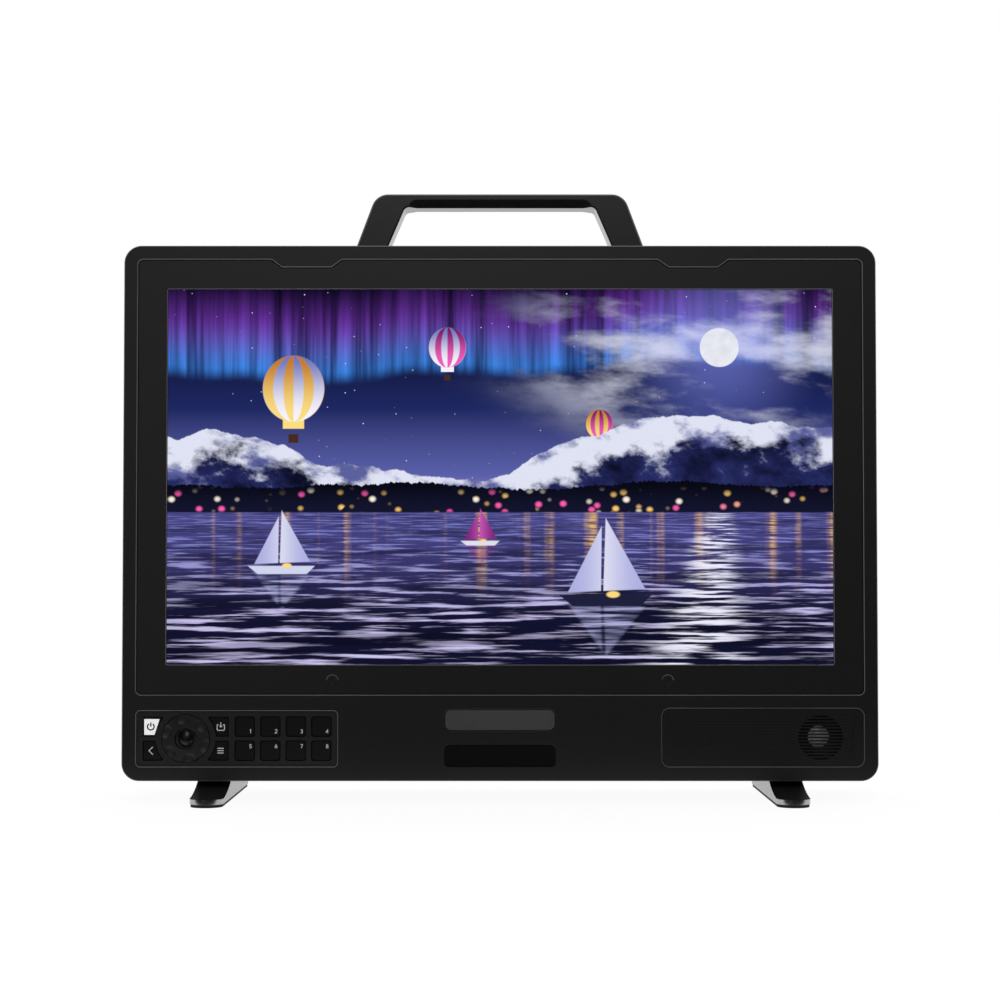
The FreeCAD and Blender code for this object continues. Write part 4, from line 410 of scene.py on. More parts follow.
# %% moulded parts
dress(coated("panel_plastic", srgb(30, 30, 31), 0.5, 0.5 * MM), "control_panel")
dress(coated("nub_gloss", srgb(5, 5, 5), 0.36, 0.8 * MM, 0.002 * MM), "joystick_nub")
dress(coated("plate_gloss", srgb(21, 21, 21), 0.14, 0.8 * MM, 0.002 * MM), "name_plate")
dress(coated("key_rubber", srgb(7, 7, 8), 0.6, 0.3 * MM, 0.01 * MM, gloss=0.32),
      "back_button", "save_button", "menu_button", *[f"function_button_{i}" for i in range(1, 9)])
dress(coated("pad_rubber", srgb(24, 24, 24), 0.8, 0.6 * MM, 0.05 * MM),
      "left_foot_pad", "right_foot_pad")
dress(coated("stick_plastic", srgb(60, 60, 60), 0.45),
      "joystick_base", "joystick_gimbal", "joystick_cradle")
dress(coated("fan_plastic", srgb(26, 26, 26), 0.45), "fan_frame", "fan_rotor")
dress(coated("connector_black", srgb(24, 24, 24), 0.42), "power_inlet", "headphone_jack")
dress(coated("switch_black", srgb(36, 36, 36), 0.5), "key_switches")
dress(coated("tally_grey", srgb(84, 84, 85), 0.3, 0.9 * MM, 0.002 * MM), "tally_lens")


# %% [markdown]
# ## Bare metal
# Sheet metal, the heat sink, inner screws and pins have no coat: the metal shows, rolled or turned,
# with fine scratches in one direction. An anisotropic shader could stretch the highlight. Noise
# squeezed along one axis is enough here, where little of it is seen through the vents.


# %% bare metal
def stretched(at, x, y, z):
    """Coordinates scaled along each axis, so that a pattern runs in one direction."""
    return at.add("ShaderNodeVectorMath", {"operation": "MULTIPLY"}, {0: at, 1: (x, y, z)}, 0)


def brushed(name, tone, roughness, along=(1.0, 1.0, 0.04)):
    """Bare metal: scratches stretched along one axis vary the tone, the roughness and the height."""
    made, at = start(name)
    lines = noise(stretched(at, *along), 4000.0, 3.0, 0.6)
    patches = noise(at, 40.0, 3.0)
    colour = blend(lines * 0.5 + patches * 0.5, shade(tone, 0.8), tone)
    close(at, {"Base Color": colour, "Metallic": 1.0,
               "Roughness": lines * 0.18 + patches * 0.08 + (roughness - 0.13),
               "Normal": bump(lines, 0.004 * MM)})
    return made


dress(brushed("sheet_metal", srgb(188, 189, 190), 0.4), "backlight_tray", "board_carrier")
dress(brushed("bare_aluminium", srgb(196, 197, 199), 0.36), "heat_sink")
dress(brushed("screw_steel", srgb(180, 180, 182), 0.32), "sheet_screws", "handle_screws", "foot_screws")
dress(brushed("pin_gold", srgb(226, 190, 112), 0.24), "power_inlet_pins", "board_standoffs")

# %% [markdown]
# ## Finishes that change within one piece
# The speaker has a bright dome on a black cone, and the grille's slots show another tone than its
# face. The wheel's cup round the nub is painted near black: painted shade for the depth of the hole.
# Each could be cut into more meshes, but it is one solid here, so its finish asks where a point lies:
# how far it is from an axis, or how deep it sits. A mask made from that distance picks the colour,
# the roughness and the metal.


# %% two-part finishes
def two_part(name, mask_of, first, second, tones=(0.9, 1.06)):
    """Material that turns from first to second where mask_of(at) is 1; each of the two is a tone,
    a roughness and a share of metal."""
    made, at = start(name)
    mask = mask_of(at)
    speck = noise(at, 900.0, 3.0)
    tone = blend(mask, first[0], second[0])
    low, high = (at.add("ShaderNodeMix", {"data_type": "RGBA", "blend_type": "MULTIPLY"},
                        {0: 1.0, 6: tone, 7: (t, t, t, 1.0)}, 2) for t in tones)
    close(at, {"Base Color": blend(speck, low, high),
               "Roughness": mask * (second[1] - first[1]) + speck * 0.1 + (first[1] - 0.05),
               "Metallic": mask * (second[2] - first[2]) + first[2]})
    return made


def reach(at, x, z):
    """Distance from an axis along Y through x, z, in metres."""
    return apart(at.axis("X") - x, at.axis("Z") - z)


MOTTLED = (0.85, 1.25)
BOWL, DOME, STEP = 6.3 * MM, 5.9 * MM, 0.3 * MM
DIAL_X, POCKET_Z = middle("jog_wheel")
dome_x, dome_z = middle("speaker_cone")
# painted shade: the wheel is near black inside the bowl's radius, standing in for the shade deep in its
# hole
dress(two_part("wheel_plastic", lambda at: fade(reach(at, DIAL_X, POCKET_Z), BOWL + STEP, BOWL),
               (srgb(26, 26, 27), 0.52, 0.0), (srgb(2, 2, 2), 0.6, 0.0), MOTTLED), "jog_wheel")
dress(two_part("grille_black", lambda at: fade(at.axis("Y") - grille_low.y, STEP, 1.5 * STEP),
               (srgb(19, 19, 19), 0.48, 0.0), (srgb(38, 38, 38), 0.5, 0.0), MOTTLED), "speaker_grille")
dress(two_part("speaker_dome", lambda at: fade(reach(at, dome_x, dome_z), DOME + STEP, DOME),
               (srgb(14, 14, 14), 0.6, 0.0), (srgb(252, 252, 252), 0.24, 0.5)), "speaker_cone")

# %% [markdown]
# ## Feet
# The feet are flat bars, dark on top. Their milled walls get a bright metal tone, fullest on the round
# noses and half on the flanks: a painted reflection of the white surroundings that the dark walls show
# at a glancing angle. Faces could be picked by hand, but a new pack would number them anew. The
# distance from a foot's middle line finds the wall wherever it is.

# %% feet
foot_low, foot_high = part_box("right_foot")
FOOT_X, FOOT_HALF, NOSE = middle("right_foot")[0], foot_high.y, (foot_high.x - foot_low.x) / 2
SKIN = 0.03 * MM


def side_wall(at):
    """Where the painted reflection goes: 1 on the round nose of a foot and half on its flanks; the
    distance from the foot's middle line is its half width there."""
    beside = abs(abs(at.axis("X")) - FOOT_X)
    ahead = at.math("MAXIMUM", abs(at.axis("Y")) - (FOOT_HALF - NOSE), 0.0)
    wall = fade(apart(beside, ahead), NOSE - 2 * SKIN, NOSE - SKIN)
    return wall * (0.5 + fade(ahead, 0.0, 2.0 * MM) * 0.5)


# painted reflection: the walls get a bright metal tone, full on the noses and half on the flanks
dress(two_part("foot_black", side_wall, (srgb(36, 36, 36), 0.34, 0.0), (srgb(172, 172, 173), 0.14, 1.0)),
      "left_foot", "right_foot")

# %% [markdown]
# ## Sockets
# The back has nickel sockets with plastic cores. Each core is a rod or a box about an axis that the
# CAD box of its socket gives, so no face has to be picked here either.

# %% sockets
COAX_COUNT, COAX_PITCH, CORE = 4, 24.0 * MM, 2.4 * MM
jacks_middle, PORT_Z = middle("coax_jacks")
COAX_FIRST = jacks_middle - (COAX_COUNT - 1) / 2 * COAX_PITCH


def coax_core(at):
    """1 in the insulator of each coaxial jack: the nearest jack's axis comes from rounding x."""
    place = (at.axis("X") - COAX_FIRST) / COAX_PITCH
    nearest = place - at.math("ROUND", place)
    up = (at.axis("Z") - PORT_Z) / COAX_PITCH
    return fade(apart(nearest, up), (CORE + 0.1 * MM) / COAX_PITCH, CORE / COAX_PITCH)


NICKEL = (srgb(186, 183, 176), 0.24, 1.0)
dress(two_part("coax_nickel", coax_core, NICKEL, (srgb(222, 220, 212), 0.4, 0.0)), "coax_jacks")


def tongue(socket, half_width, half_height):
    """Mask for the core of a socket: a box about its middle."""
    x, z = middle(socket)

    def mask(at):
        side = fade(abs(at.axis("X") - x), half_width, half_width - 0.1 * MM)
        return side * fade(abs(at.axis("Z") - z), half_height, half_height - 0.1 * MM)
    return mask


BLACK_CORE = (srgb(22, 22, 22), 0.45, 0.0)
BLUE_CORE = (srgb(30, 60, 150), 0.4, 0.0)
for kind, core, half_width, half_height in (("video", BLACK_CORE, 6.9 * MM, 2.4 * MM),
                                            ("network", BLACK_CORE, 6.0 * MM, 5.8 * MM),
                                            ("data", BLUE_CORE, 6.3 * MM, 2.6 * MM)):
    socket = f"{kind}_socket"
    dress(two_part(f"{kind}_nickel", tongue(socket, half_width, half_height), NICKEL, core), socket)

# %% [markdown]
# ## Boards and backlight
# Behind the vents lie green boards with dark chips, and behind the screen a white diffuser. A
# picture of tracks would never be seen, so one depth does: the board in front of it, chips behind.


# %% boards and light
def behind(level):
    """Mask for what stands behind a board's back face."""
    return lambda at: fade(at.axis("Y"), level, level + 0.05 * MM)


def plain(name, finish, tones=(0.9, 1.06)):
    """Material with one finish throughout: its mask starts where the model ends."""
    return two_part(name, behind(cad_box[1].y), finish, finish, tones)


BOARD_THICKNESS = 1.6 * MM
GREEN, CHIPS = (srgb(20, 74, 44), 0.4, 0.0), (srgb(28, 28, 29), 0.5, 0.0)
MILK, CELL = (srgb(232, 232, 230), 0.6, 0.0), (srgb(14, 14, 18), 0.3, 0.0)
for board in ("main_board", "power_board"):
    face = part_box(board)[0].y + BOARD_THICKNESS
    dress(two_part(f"{board}_finish", behind(face), GREEN, CHIPS), board)
dress(plain("small_boards", GREEN, (0.75, 1.2)), "keypad_board", "tally_board")
dress(plain("diffuser_white", MILK), "light_diffuser", "light_board")
dress(plain("panel_cell", CELL), "lcd_panel")

# %% [markdown]
# ## Glass and the lit key
# The cover glass is clear, with a faint film that roughens it here and there. The power key has a
# white window lit from behind inside a dark rim. A lamp under a translucent key would be the real
# way; a little light of the window's own looks the same and renders faster.

# %% glass and key
cover, at = start("screen_glass")
film = noise(at, 14.0, 4.0, 0.6)
close(at, {"Base Color": (1.0, 1.0, 1.0, 1.0), "Transmission Weight": 1.0, "IOR": 1.38,
           "Roughness": film * 0.03})
dress(cover, "cover_glass")

lit, at = start("power_white")
cloud = noise(at, 260.0, 2.0)
key_low, key_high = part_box("power_button")
RIM_LEFT, RIM_LOW, RIM_HIGH, RIM_SOFT = 1.1 * MM, 1.3 * MM, 1.7 * MM, 0.2 * MM
SLANT, SLANT_REACH = 0.32, 6.7 * MM
left_in, low_in = at.axis("X") - key_low.x, at.axis("Z") - key_low.z
window = within(low_in, RIM_LOW, key_high.z - key_low.z - RIM_HIGH, RIM_SOFT)
window = window * fade(left_in, RIM_LEFT, RIM_LEFT + RIM_SOFT)
window = window * fade(left_in - low_in * SLANT, SLANT_REACH, SLANT_REACH - RIM_SOFT)
white = blend(cloud, srgb(226, 226, 226), srgb(240, 240, 240))
close(at, {"Base Color": blend(window, srgb(12, 12, 13), white), "Roughness": cloud * 0.1 + 0.4,
           "Emission Color": blend(window, (0.0, 0.0, 0.0, 1.0), white), "Emission Strength": 0.6})
dress(lit, "power_button")

# %% [markdown]
# ## Surfaces from numpy
# New pieces are grids of points. Blender's own primitives would do for the simplest, but a grid can
# follow any formula. One function turns it into a mesh, its rows and columns into quads, and sets
# the piece on its body.


# %% grid to mesh
def quads(rows, columns, wrap):
    """Corner numbers of a grid's quads; wrap closes the columns into a loop."""
    r, c = np.meshgrid(np.arange(rows - 1), np.arange(columns if wrap else columns - 1), indexing="ij")
    right, here, above = (c + 1) % columns, r * columns, (r + 1) * columns
    return np.stack([here + c, here + right, above + right, above + c], -1).reshape(-1, 4)


print(f"a grid of 3 by 4 points has {len(quads(3, 4, False))} quads, as a tube {len(quads(3, 4, True))}")


def make(name, grids, material, body, wrap=False, capped=False):
    """Piece from grids shaped (rows, columns, 3); capped closes both end rows of a wrapped grid."""
    points, faces, first = [], [], 0
    for grid in grids:
        rows, columns = grid.shape[:2]
        faces += (quads(rows, columns, wrap) + first).tolist()
        if capped:
            ring = np.arange(columns) + first
            faces += [ring[::-1].tolist(), (ring + (rows - 1) * columns).tolist()]
        points.append(grid.reshape(-1, 3))
        first += rows * columns
    mesh = bpy.data.meshes.new(name)
    mesh.from_pydata(np.concatenate(points).tolist(), [], faces)
    mesh.materials.append(material)
    mesh.validate()
    piece = bpy.data.objects.new(name, mesh)
    bpy.context.scene.collection.objects.link(piece)
    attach(piece, body)
    return piece


# %% [markdown]
# ## Screws with a hexagon socket
# The rear cover is held by socket head screws, and the CAD screws are plain cylinders. A boolean
# could cut the sockets, but it leaves ragged faces. So each screw is drawn again as rings along its
# axis: shank, head, a small bevel, and a socket whose radius follows a hexagon.

# %% cover screws
SEAT, TAIL = 44.8 * MM, 9.0 * MM
HEAD, HEAD_HEIGHT, SHANK = 2.75 * MM, 1.8 * MM, 1.45 * MM
KEY_WIDTH, KEY_DEPTH, BEVEL = 3.0 * MM, 1.2 * MM, 0.3 * MM
SCREW_SIDE, SCREW_LEVELS = 205.15 * MM, (58.3 * MM, 172.3 * MM, 306.3 * MM)


def socket_screw(x, z, columns=48):
    """Rings about an axis along Y: radius and depth per row; the last two radii follow a hexagon, whose
    radius is half its width over the cosine of the angle from the nearest flat's middle."""
    turn = -np.linspace(0.0, 2.0 * np.pi, columns, endpoint=False)
    hexagon = KEY_WIDTH / 2 / np.cos(np.mod(turn, np.pi / 3) - np.pi / 6)
    circle, top = np.ones(columns), SEAT + HEAD_HEIGHT
    radius = np.stack([SHANK * circle, SHANK * circle, HEAD * circle, HEAD * circle,
                       (HEAD - BEVEL) * circle, hexagon, hexagon])
    depth = np.array([TAIL, SEAT, SEAT, top - BEVEL, top, top, top - KEY_DEPTH])[:, None] * circle
    return np.stack([x + radius * np.cos(turn), depth, z + radius * np.sin(turn)], -1)


spots = [(side * SCREW_SIDE, level) for side in (-1, 1) for level in SCREW_LEVELS]
screws = make("cover_screws", [socket_screw(x, z) for x, z in spots], screw_black, "housing",
              wrap=True, capped=True)
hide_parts("rear_cover_screws")
print(f"{len(spots)} cover screws with hexagon sockets")

# %% [markdown]
# ## The picture
# The screen shows a night scene: a lake under an aurora and moonlit clouds, snow on the peaks, lamps
# along the shore, balloons and sails. An image file would be the usual way; a formula needs no file
# and stays sharp at any size. Every element is a mask from a distance or a line, and the masks lay
# colours over each other from back to front, as a painter would. The picture lies just inside the
# glass, on the display cell.

# %% picture place
VIEW_WIDTH, VIEW_HEIGHT, VIEW_LIFT = 382.6 * MM, 216.1 * MM, 0.04 * MM
VIEW_MIDDLE = middle("screen_frame")[1]
cell_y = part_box("lcd_panel")[0].y - VIEW_LIFT
left, bottom = -VIEW_WIDTH / 2, VIEW_MIDDLE - VIEW_HEIGHT / 2
u, v = np.meshgrid(np.linspace(0, 1, 17), np.linspace(0, 1, 10))
view = np.stack([left + u * VIEW_WIDTH, np.full_like(u, cell_y), bottom + v * VIEW_HEIGHT], -1)

picture, at = start("screen_picture")
across = (at.axis("X") - left) / VIEW_HEIGHT
up = (at.axis("Z") - bottom) / VIEW_HEIGHT
WIDE = VIEW_WIDTH / VIEW_HEIGHT
SHORE = 0.405
print(f"picture {VIEW_WIDTH:.4f} by {VIEW_HEIGHT:.4f} m, {WIDE:.2f} to 1")


def spot(x, y):
    """A point of the picture as coordinates for a texture."""
    return at.add("ShaderNodeCombineXYZ", None, {"X": x, "Y": y})


# %% sky and aurora
DUSK = [(0.40, srgb(176, 140, 196)), (0.50, srgb(92, 98, 172)), (0.68, srgb(30, 40, 98)),
        (0.86, srgb(8, 10, 38)), (1.0, srgb(2, 3, 16))]
sky_light = up.add("ShaderNodeValToRGB", {"stops": DUSK}, {0: up}, 0)
broad, small = noise(spot(across * 1.1, 0.0), 1.0, 2.0), noise(spot(across * 4.0, 3.0), 1.0, 2.0)
curtain = 0.70 + broad * 0.24 - small * 0.06
drop = up - curtain
rays = noise(spot(across * 26.0, up * 0.9), 1.0, 3.0, 0.6)
aurora = fade(drop, -0.03, 0.015) * (1.0 - fade(drop, 0.0, 0.26)) * fade(rays, 0.25, 0.75)
tint = blend(fade(drop, 0.0, 0.16), srgb(70, 150, 255), srgb(168, 84, 250))
painted = blend(aurora * 0.9, sky_light, tint)
cells = {"Vector": spot(across, up), "Scale": 44.0}
star = fade(at.add("ShaderNodeTexVoronoi", None, cells, "Distance"), 0.10, 0.03)
pick = at.add("ShaderNodeTexVoronoi", None, cells, "Color").axis("X")
painted = blend(star * fade(pick, 0.45, 0.85), painted, srgb(235, 238, 255))
print("sky, aurora and stars")


# %% moon and balloons
def disc(x, y, wide, tall):
    """Distance from a point in widths and heights: 1 on the ellipse's edge."""
    return apart((across - x) / wide, (up - y) / tall)


def block(x, y, half_wide, half_tall, soft):
    """1 inside a rectangle about a point."""
    side = fade(abs(across - x), half_wide, half_wide - soft)
    return side * fade(abs(up - y), half_tall, half_tall - soft)


MOON = (1.47, 0.845)
puff = noise(spot(across * 2.6 + up * 0.8, up * 6.5), 1.0, 6.0, 0.56)
lit_by = fade(disc(*MOON, 0.75, 0.42), 1.0, 0.1)
cloud_tone = blend(lit_by, srgb(60, 66, 116), srgb(226, 228, 242))
clouds = fade(puff, 0.46, 0.68) * fade(disc(*MOON, 0.80, 0.34), 1.0, 0.55)
painted = blend(clouds, painted, cloud_tone)
painted = blend(fade(disc(*MOON, 0.30, 0.30), 1.0, 0.0) * 0.45, painted, srgb(130, 140, 240))
face = noise(spot(across * 30.0, up * 30.0), 1.0, 3.0)
moon_tone = blend(face, srgb(255, 255, 255), srgb(205, 208, 228))
painted = blend(fade(disc(*MOON, 0.052, 0.052), 1.03, 0.97), painted, moon_tone)


def balloon(under, x, y, size, first, second):
    """Lays a lit envelope over a colour, with gores that narrow towards its top, a neck and a basket."""
    tall = size * 1.08
    narrow = at.math("MAXIMUM", 1.0 - ((up - y) / tall) ** 2.0, 0.02) ** 0.5
    gore = fade(at.math("SINE", (across - x) / narrow * (9.5 / size)), -0.3, 0.3)
    glow = fade((up - y) / size, 1.1, -1.0)
    colour = blend(glow, blend(gore, first[0], second[0]), blend(gore, first[1], second[1]))
    neck = block(x, y - size * 1.02, size * 0.36, size * 0.30, size * 0.03)
    basket = block(x, y - size * 1.62, size * 0.17, size * 0.15, size * 0.02)
    under = blend(neck, under, first[1])
    under = blend(fade(disc(x, y, size, tall), 1.02, 0.98), under, colour)
    return blend(basket, under, srgb(70, 44, 30))


YELLOW = (srgb(196, 120, 40), srgb(255, 224, 130))
PINK = (srgb(120, 24, 100), srgb(244, 96, 190))
WHITE = (srgb(110, 120, 190), srgb(250, 246, 255))
painted = balloon(painted, 0.335, 0.735, 0.082, YELLOW, WHITE)
painted = balloon(painted, 0.745, 0.845, 0.050, WHITE, PINK)
painted = balloon(painted, 1.150, 0.640, 0.036, YELLOW, PINK)
print("clouds, moon and three balloons")

# %% [markdown]
# ## Land and lamps
# A ridge is a noise along x, and all that lies below it is land. A second noise in two directions
# parts snow from rock. The lamps are the centres of Voronoi cells: each cell has a random colour,
# which decides whether its lamp is lit and how warm it is.

# %% peaks and hills
crag = noise(spot(across * 1.9, 7.3), 1.0, 7.0, 0.52)
ridge = 0.44 + crag * 0.36 - fade(abs(across - 0.62), 0.55, 0.0) * 0.10
below = ridge - up
grain = noise(spot(across * 7.0 + up * 6.0, up * 9.0 - across * 3.0), 1.0, 6.0, 0.6)
flank = noise(spot(across * 6.0 + up * 5.0, up * 8.0 - across * 2.5), 1.0, 6.0, 0.58)
snow = fade(grain + fade(below, 0.15, 0.0) * 0.30, 0.58, 0.74)
rock = blend(fade(grain, 0.3, 0.7), srgb(9, 11, 34), srgb(44, 50, 112))
drift = blend(fade(flank, 0.40, 0.54), srgb(92, 98, 158), srgb(226, 229, 246))
painted = blend(fade(below, 0.0, 0.004), painted, blend(snow, rock, drift))
pines = noise(spot(across * 90.0, 1.0), 1.0, 2.0) * 0.022
bank = 0.425 + noise(spot(across * 2.6, 4.0), 1.0, 4.0) * 0.085 + pines
wood = blend(fade(up, 0.40, 0.50), srgb(18, 20, 46), srgb(4, 5, 14))
painted = blend(fade(bank - up, 0.0, 0.003), painted, wood)
print("peaks and wooded bank")

# %% shore lamps
lamp_cells = {"Vector": spot(across * 30.0, up * 34.0), "Scale": 1.0}
lamp = fade(at.add("ShaderNodeTexVoronoi", None, lamp_cells, "Distance"), 0.38, 0.10)
chance = at.add("ShaderNodeTexVoronoi", None, lamp_cells, "Color")
strip = fade(up, 0.402, 0.412) * fade(up, 0.475, 0.44)
warm = blend(fade(chance.axis("Y"), 0.62, 0.68), srgb(255, 206, 112), srgb(255, 246, 226))
warm = blend(fade(chance.axis("Z"), 0.86, 0.88), warm, srgb(255, 96, 180))
painted = blend(lamp * strip * fade(chance.axis("X"), 0.18, 0.22), painted, warm)
print("shore lamps")

# %% [markdown]
# ## Water and sails
# Waves shrink towards the shore, so the noise for them is stretched by how near the water is. Lamps
# and moon lie on it as columns that the waves break up. A sail is where several straight lines
# all have the point on their right: a product of soft steps.

# %% water
near = 1.0 - up / SHORE
lane = (across - WIDE / 2) / (near + 0.35)
wave = noise(spot(lane * 4.5, near ** 0.45 * 58.0), 1.0, 4.0, 0.55)
swell = noise(spot(lane * 1.4, near ** 0.45 * 17.0), 1.0, 2.0)
deep = blend(fade(near, 0.0, 0.75), srgb(72, 68, 132), srgb(16, 17, 46))
crest = blend(fade(near, 0.1, 0.8), srgb(120, 124, 196), srgb(206, 198, 242))
water = blend(fade(wave, 0.49, 0.64), deep, crest)
water = blend(fade(swell, 0.48, 0.62) * 0.5, water, srgb(8, 9, 28))
columns = fade(noise(spot(across * 17.0 + wave * 0.5, 2.0), 1.0, 2.0), 0.52, 0.68)
columns = columns * fade(near, 0.62, 0.05) * fade(wave, 0.36, 0.60)
water = blend(columns, water, srgb(255, 200, 108))
path_width = 0.05 + near * 0.15
glitter = fade(abs(across - MOON[0] + near * 0.06), path_width, path_width * 0.2)
water = blend(glitter * fade(wave, 0.47, 0.60), water, srgb(238, 238, 255))
painted = blend(fade(up, SHORE + 0.002, SHORE - 0.002), painted, water)
print("water with lamp reflections and the moon's path")


# %% sails
def below_line(x0, y0, x1, y1, soft):
    """1 on the right of the line from the first point to the second, 0 on its left."""
    run, rise = x1 - x0, y1 - y0
    length = math.hypot(run, rise)
    return fade(((across - x0) * rise - (up - y0) * run) / length, -soft, soft)


def patch(corners, soft=0.0016):
    """1 inside a convex outline whose corners run clockwise."""
    inside = None
    for (x0, y0), (x1, y1) in zip(corners, corners[1:] + corners[:1]):
        side = below_line(x0, y0, x1, y1, soft)
        inside = side if inside is None else inside * side
    return inside


MAIN_SAIL = [(0.0, 0.10), (0.03, 1.0), (0.52, 0.12)]
FORESAIL = [(-0.44, 0.08), (-0.02, 0.90), (-0.03, 0.10)]
HULL = [(-0.55, 0.05), (0.60, 0.05), (0.46, -0.09), (-0.38, -0.09)]
MIRRORED, MIRROR_SOFT = -0.7, 0.006


def sailboat(under, x, y, size, cloth, hull):
    """Lays two sails, a hull, a cabin lamp and a broken reflection of the sails over a colour."""
    def placed(points, flip=1.0):
        corners = [(x + px * size, y + py * size * flip) for px, py in points]
        return corners if flip > 0 else corners[::-1]
    mirror = patch(placed(MAIN_SAIL, MIRRORED), MIRROR_SOFT)
    mirror = mirror + patch(placed(FORESAIL, MIRRORED), MIRROR_SOFT)
    under = blend(mirror * fade(wave, 0.36, 0.62) * 0.6, under, cloth[0])
    fall = fade((across - x) / size, -0.4, 0.5)
    under = blend(patch(placed(MAIN_SAIL)), under, blend(fall, cloth[1], cloth[0]))
    under = blend(patch(placed(FORESAIL)), under, blend(fall, cloth[0], cloth[1]))
    under = blend(patch(placed(HULL)), under, hull)
    cabin = disc(x + 0.12 * size, y + 0.055 * size, 0.10 * size, 0.05 * size)
    return blend(fade(cabin, 1.0, 0.6), under, srgb(255, 220, 130))


SAIL_WHITE = (srgb(176, 178, 228), srgb(252, 252, 255))
SAIL_PINK = (srgb(130, 36, 130), srgb(238, 112, 206))
painted = sailboat(painted, 0.30, 0.255, 0.155, SAIL_WHITE, srgb(210, 214, 240))
painted = sailboat(painted, 0.83, 0.325, 0.090, SAIL_PINK, srgb(226, 226, 236))
painted = sailboat(painted, 1.16, 0.175, 0.215, SAIL_WHITE, srgb(30, 32, 60))
print("three sailing boats")

# %% screen surface
close(at, {"Base Color": (0.0, 0.0, 0.0, 1.0), "Roughness": 0.4, "Specular IOR Level": 0.0,
           "Emission Color": painted, "Emission Strength": 1.0})
make("screen_picture", [view], picture, "housing")
print("picture set behind the glass")

# %% [markdown]
# ## Legends on the keys
# Numbers and signs are printed on the real keys. A font would do for the numbers, but the signs have
# none, so all of them are strokes: a path of points with a flat band carried along it. The band's
# sides follow the path's normal, and at a corner they meet on the mitre.

# %% strokes
KEY_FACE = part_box("function_button_1")[0].y
PRINT_LIFT = 0.03 * MM


def arc(x, y, radius, begin, end, steps=25):
    """Points of an arc from begin to end, in degrees."""
    turn = np.radians(np.linspace(begin, end, steps))
    return np.stack([x + radius * np.cos(turn), y + radius * np.sin(turn)], -1)


def band(path, width):
    """Flat bar along a path: each point moves half a width along the mitre of its two normals."""
    path = np.asarray(path, float)
    way = np.diff(path, axis=0)
    way /= np.linalg.norm(way, axis=1, keepdims=True)
    if np.allclose(path[0], path[-1]):
        before, after = np.vstack([way[-1:], way]), np.vstack([way, way[:1]])
    else:
        before, after = np.vstack([way[:1], way]), np.vstack([way, way[-1:]])
    across = np.stack([-(before + after)[:, 1], (before + after)[:, 0]], -1)
    across /= np.linalg.norm(across, axis=1, keepdims=True)
    normal = np.stack([-after[:, 1], after[:, 0]], -1)
    across *= (width / 2) / np.maximum((across * normal).sum(1, keepdims=True), 0.35)
    sides = np.stack([path + across, path - across, path - across, path + across], 1)
    lift = PRINT_LIFT * np.array([-1.0, -1.0, 1.0, 1.0])
    depth = np.broadcast_to(KEY_FACE + lift, sides.shape[:2])
    return np.stack([sides[..., 0], depth, sides[..., 1]], -1)


def legend(name, key, strokes, x, z, size, width, material):
    """Piece of strokes drawn in units of size about a point on a key's face."""
    bars = [band(np.asarray(path) * size + (x, z), width) for path in strokes]
    return make(name, bars, material, key, wrap=True, capped=True)


print(f"a band along a half turn has {band(arc(0.0, 0.0, 1.0, 0, 180), 0.1).shape[0]} cross-sections")

# %% inks
WEAR = 1500.0
ink, at = start("legend_white")
wear_and_glint = noise(at, WEAR, 3.0)
white = blend(wear_and_glint, srgb(190, 190, 190), srgb(226, 226, 226))
close(at, {"Base Color": white, "Roughness": wear_and_glint * 0.2 + 0.4,
           "Emission Color": white, "Emission Strength": 0.22})
grey_ink, at = start("legend_grey")
wear_and_glint = noise(at, WEAR, 3.0)
grey = blend(wear_and_glint, srgb(34, 34, 35), srgb(52, 52, 53))
close(at, {"Base Color": grey, "Roughness": wear_and_glint * 0.2 + 0.4})
print("white ink for the keys, dark ink for the lit one")

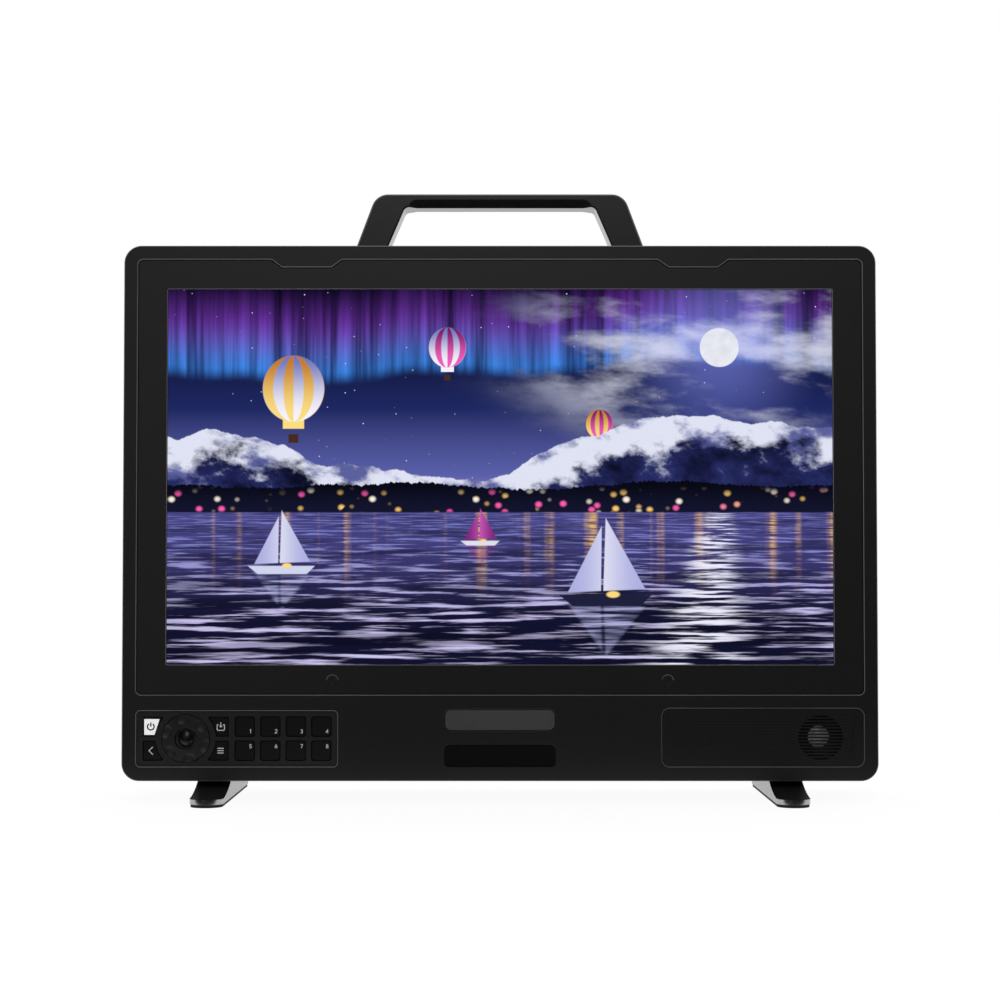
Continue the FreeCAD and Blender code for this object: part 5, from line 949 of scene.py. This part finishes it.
# %% numbers
DIGITS = {
    1: [[(-0.20, 0.28), (0.02, 0.5), (0.02, -0.5)]],
    2: [np.vstack([arc(0.0, 0.22, 0.27, 165, -35), [(-0.28, -0.46), (0.32, -0.46)]])],
    3: [np.vstack([arc(-0.02, 0.25, 0.22, 150, -80), arc(-0.02, -0.22, 0.26, 80, -150)])],
    4: [[(0.14, -0.5), (0.14, 0.46), (-0.30, -0.20), (0.32, -0.20)]],
    5: [np.vstack([[(0.25, 0.46), (-0.17, 0.46), (-0.22, 0.05)], arc(-0.02, -0.18, 0.28, 125, -150)])],
    6: [arc(0.0, -0.20, 0.26, 0, 360, 33), [(0.16, 0.5), (-0.16, 0.16), (-0.25, -0.12)]],
    7: [[(-0.28, 0.46), (0.28, 0.46), (-0.08, -0.5)]],
    8: [arc(0.0, 0.25, 0.21, 0, 360, 29), arc(0.0, -0.22, 0.26, 0, 360, 33)],
}
DIGIT_SIZE, DIGIT_STROKE = 2.15 * MM, 0.35 * MM
DIGIT_ASIDE, DIGIT_DROP, DIGIT_RISE = 3.3 * MM, -2.7 * MM, 2.5 * MM
for number, strokes in DIGITS.items():
    key = f"function_button_{number}"
    x, z = middle(key)
    rise = DIGIT_DROP if number < 5 else DIGIT_RISE
    legend(f"number_{number}", key, strokes, x + DIGIT_ASIDE, z + rise, DIGIT_SIZE, DIGIT_STROKE, ink)
print("numbers 1 to 8")

# %% signs
SIGN_STROKE, POWER_STROKE = 0.5 * MM, 0.78 * MM
ROW = 6.85 * MM
SIGNS = {
    "power": [arc(0.0, 0.0, 0.5, 125, 415, 41), [(0.0, 0.0), (0.0, 0.62)]],
    "back": [[(0.30, 0.58), (-0.30, 0.0), (0.30, -0.58)]],
    "save": [np.vstack([[(-0.30, 0.24), (-0.46, 0.24)], arc(-0.34, -0.34, 0.14, 180, 270, 7),
                        arc(0.34, -0.34, 0.14, 270, 360, 7), [(0.48, 0.24), (0.30, 0.24)]]),
             [(0.0, 0.56), (0.0, -0.02)], [(-0.17, 0.12), (0.0, -0.06), (0.17, 0.12)]],
    "menu": [[(-0.5, y), (0.5, y)] for y in (0.37, 0.0, -0.37)],
}
PLACES = {
    "power": (-20.0 * MM, ROW, 3.8 * MM, POWER_STROKE, grey_ink),
    "back": (-19.9 * MM, -ROW, 3.7 * MM, SIGN_STROKE, ink),
    "save": (20.0 * MM, ROW, 4.4 * MM, SIGN_STROKE, ink),
    "menu": (19.9 * MM, -ROW, 3.6 * MM, SIGN_STROKE, ink),
}
for sign, strokes in SIGNS.items():
    aside, rise, *look = PLACES[sign]
    legend(f"sign_{sign}", f"{sign}_button", strokes, DIAL_X + aside, POCKET_Z + rise, *look)
print("signs for power, back, save and menu")

# %% [markdown]
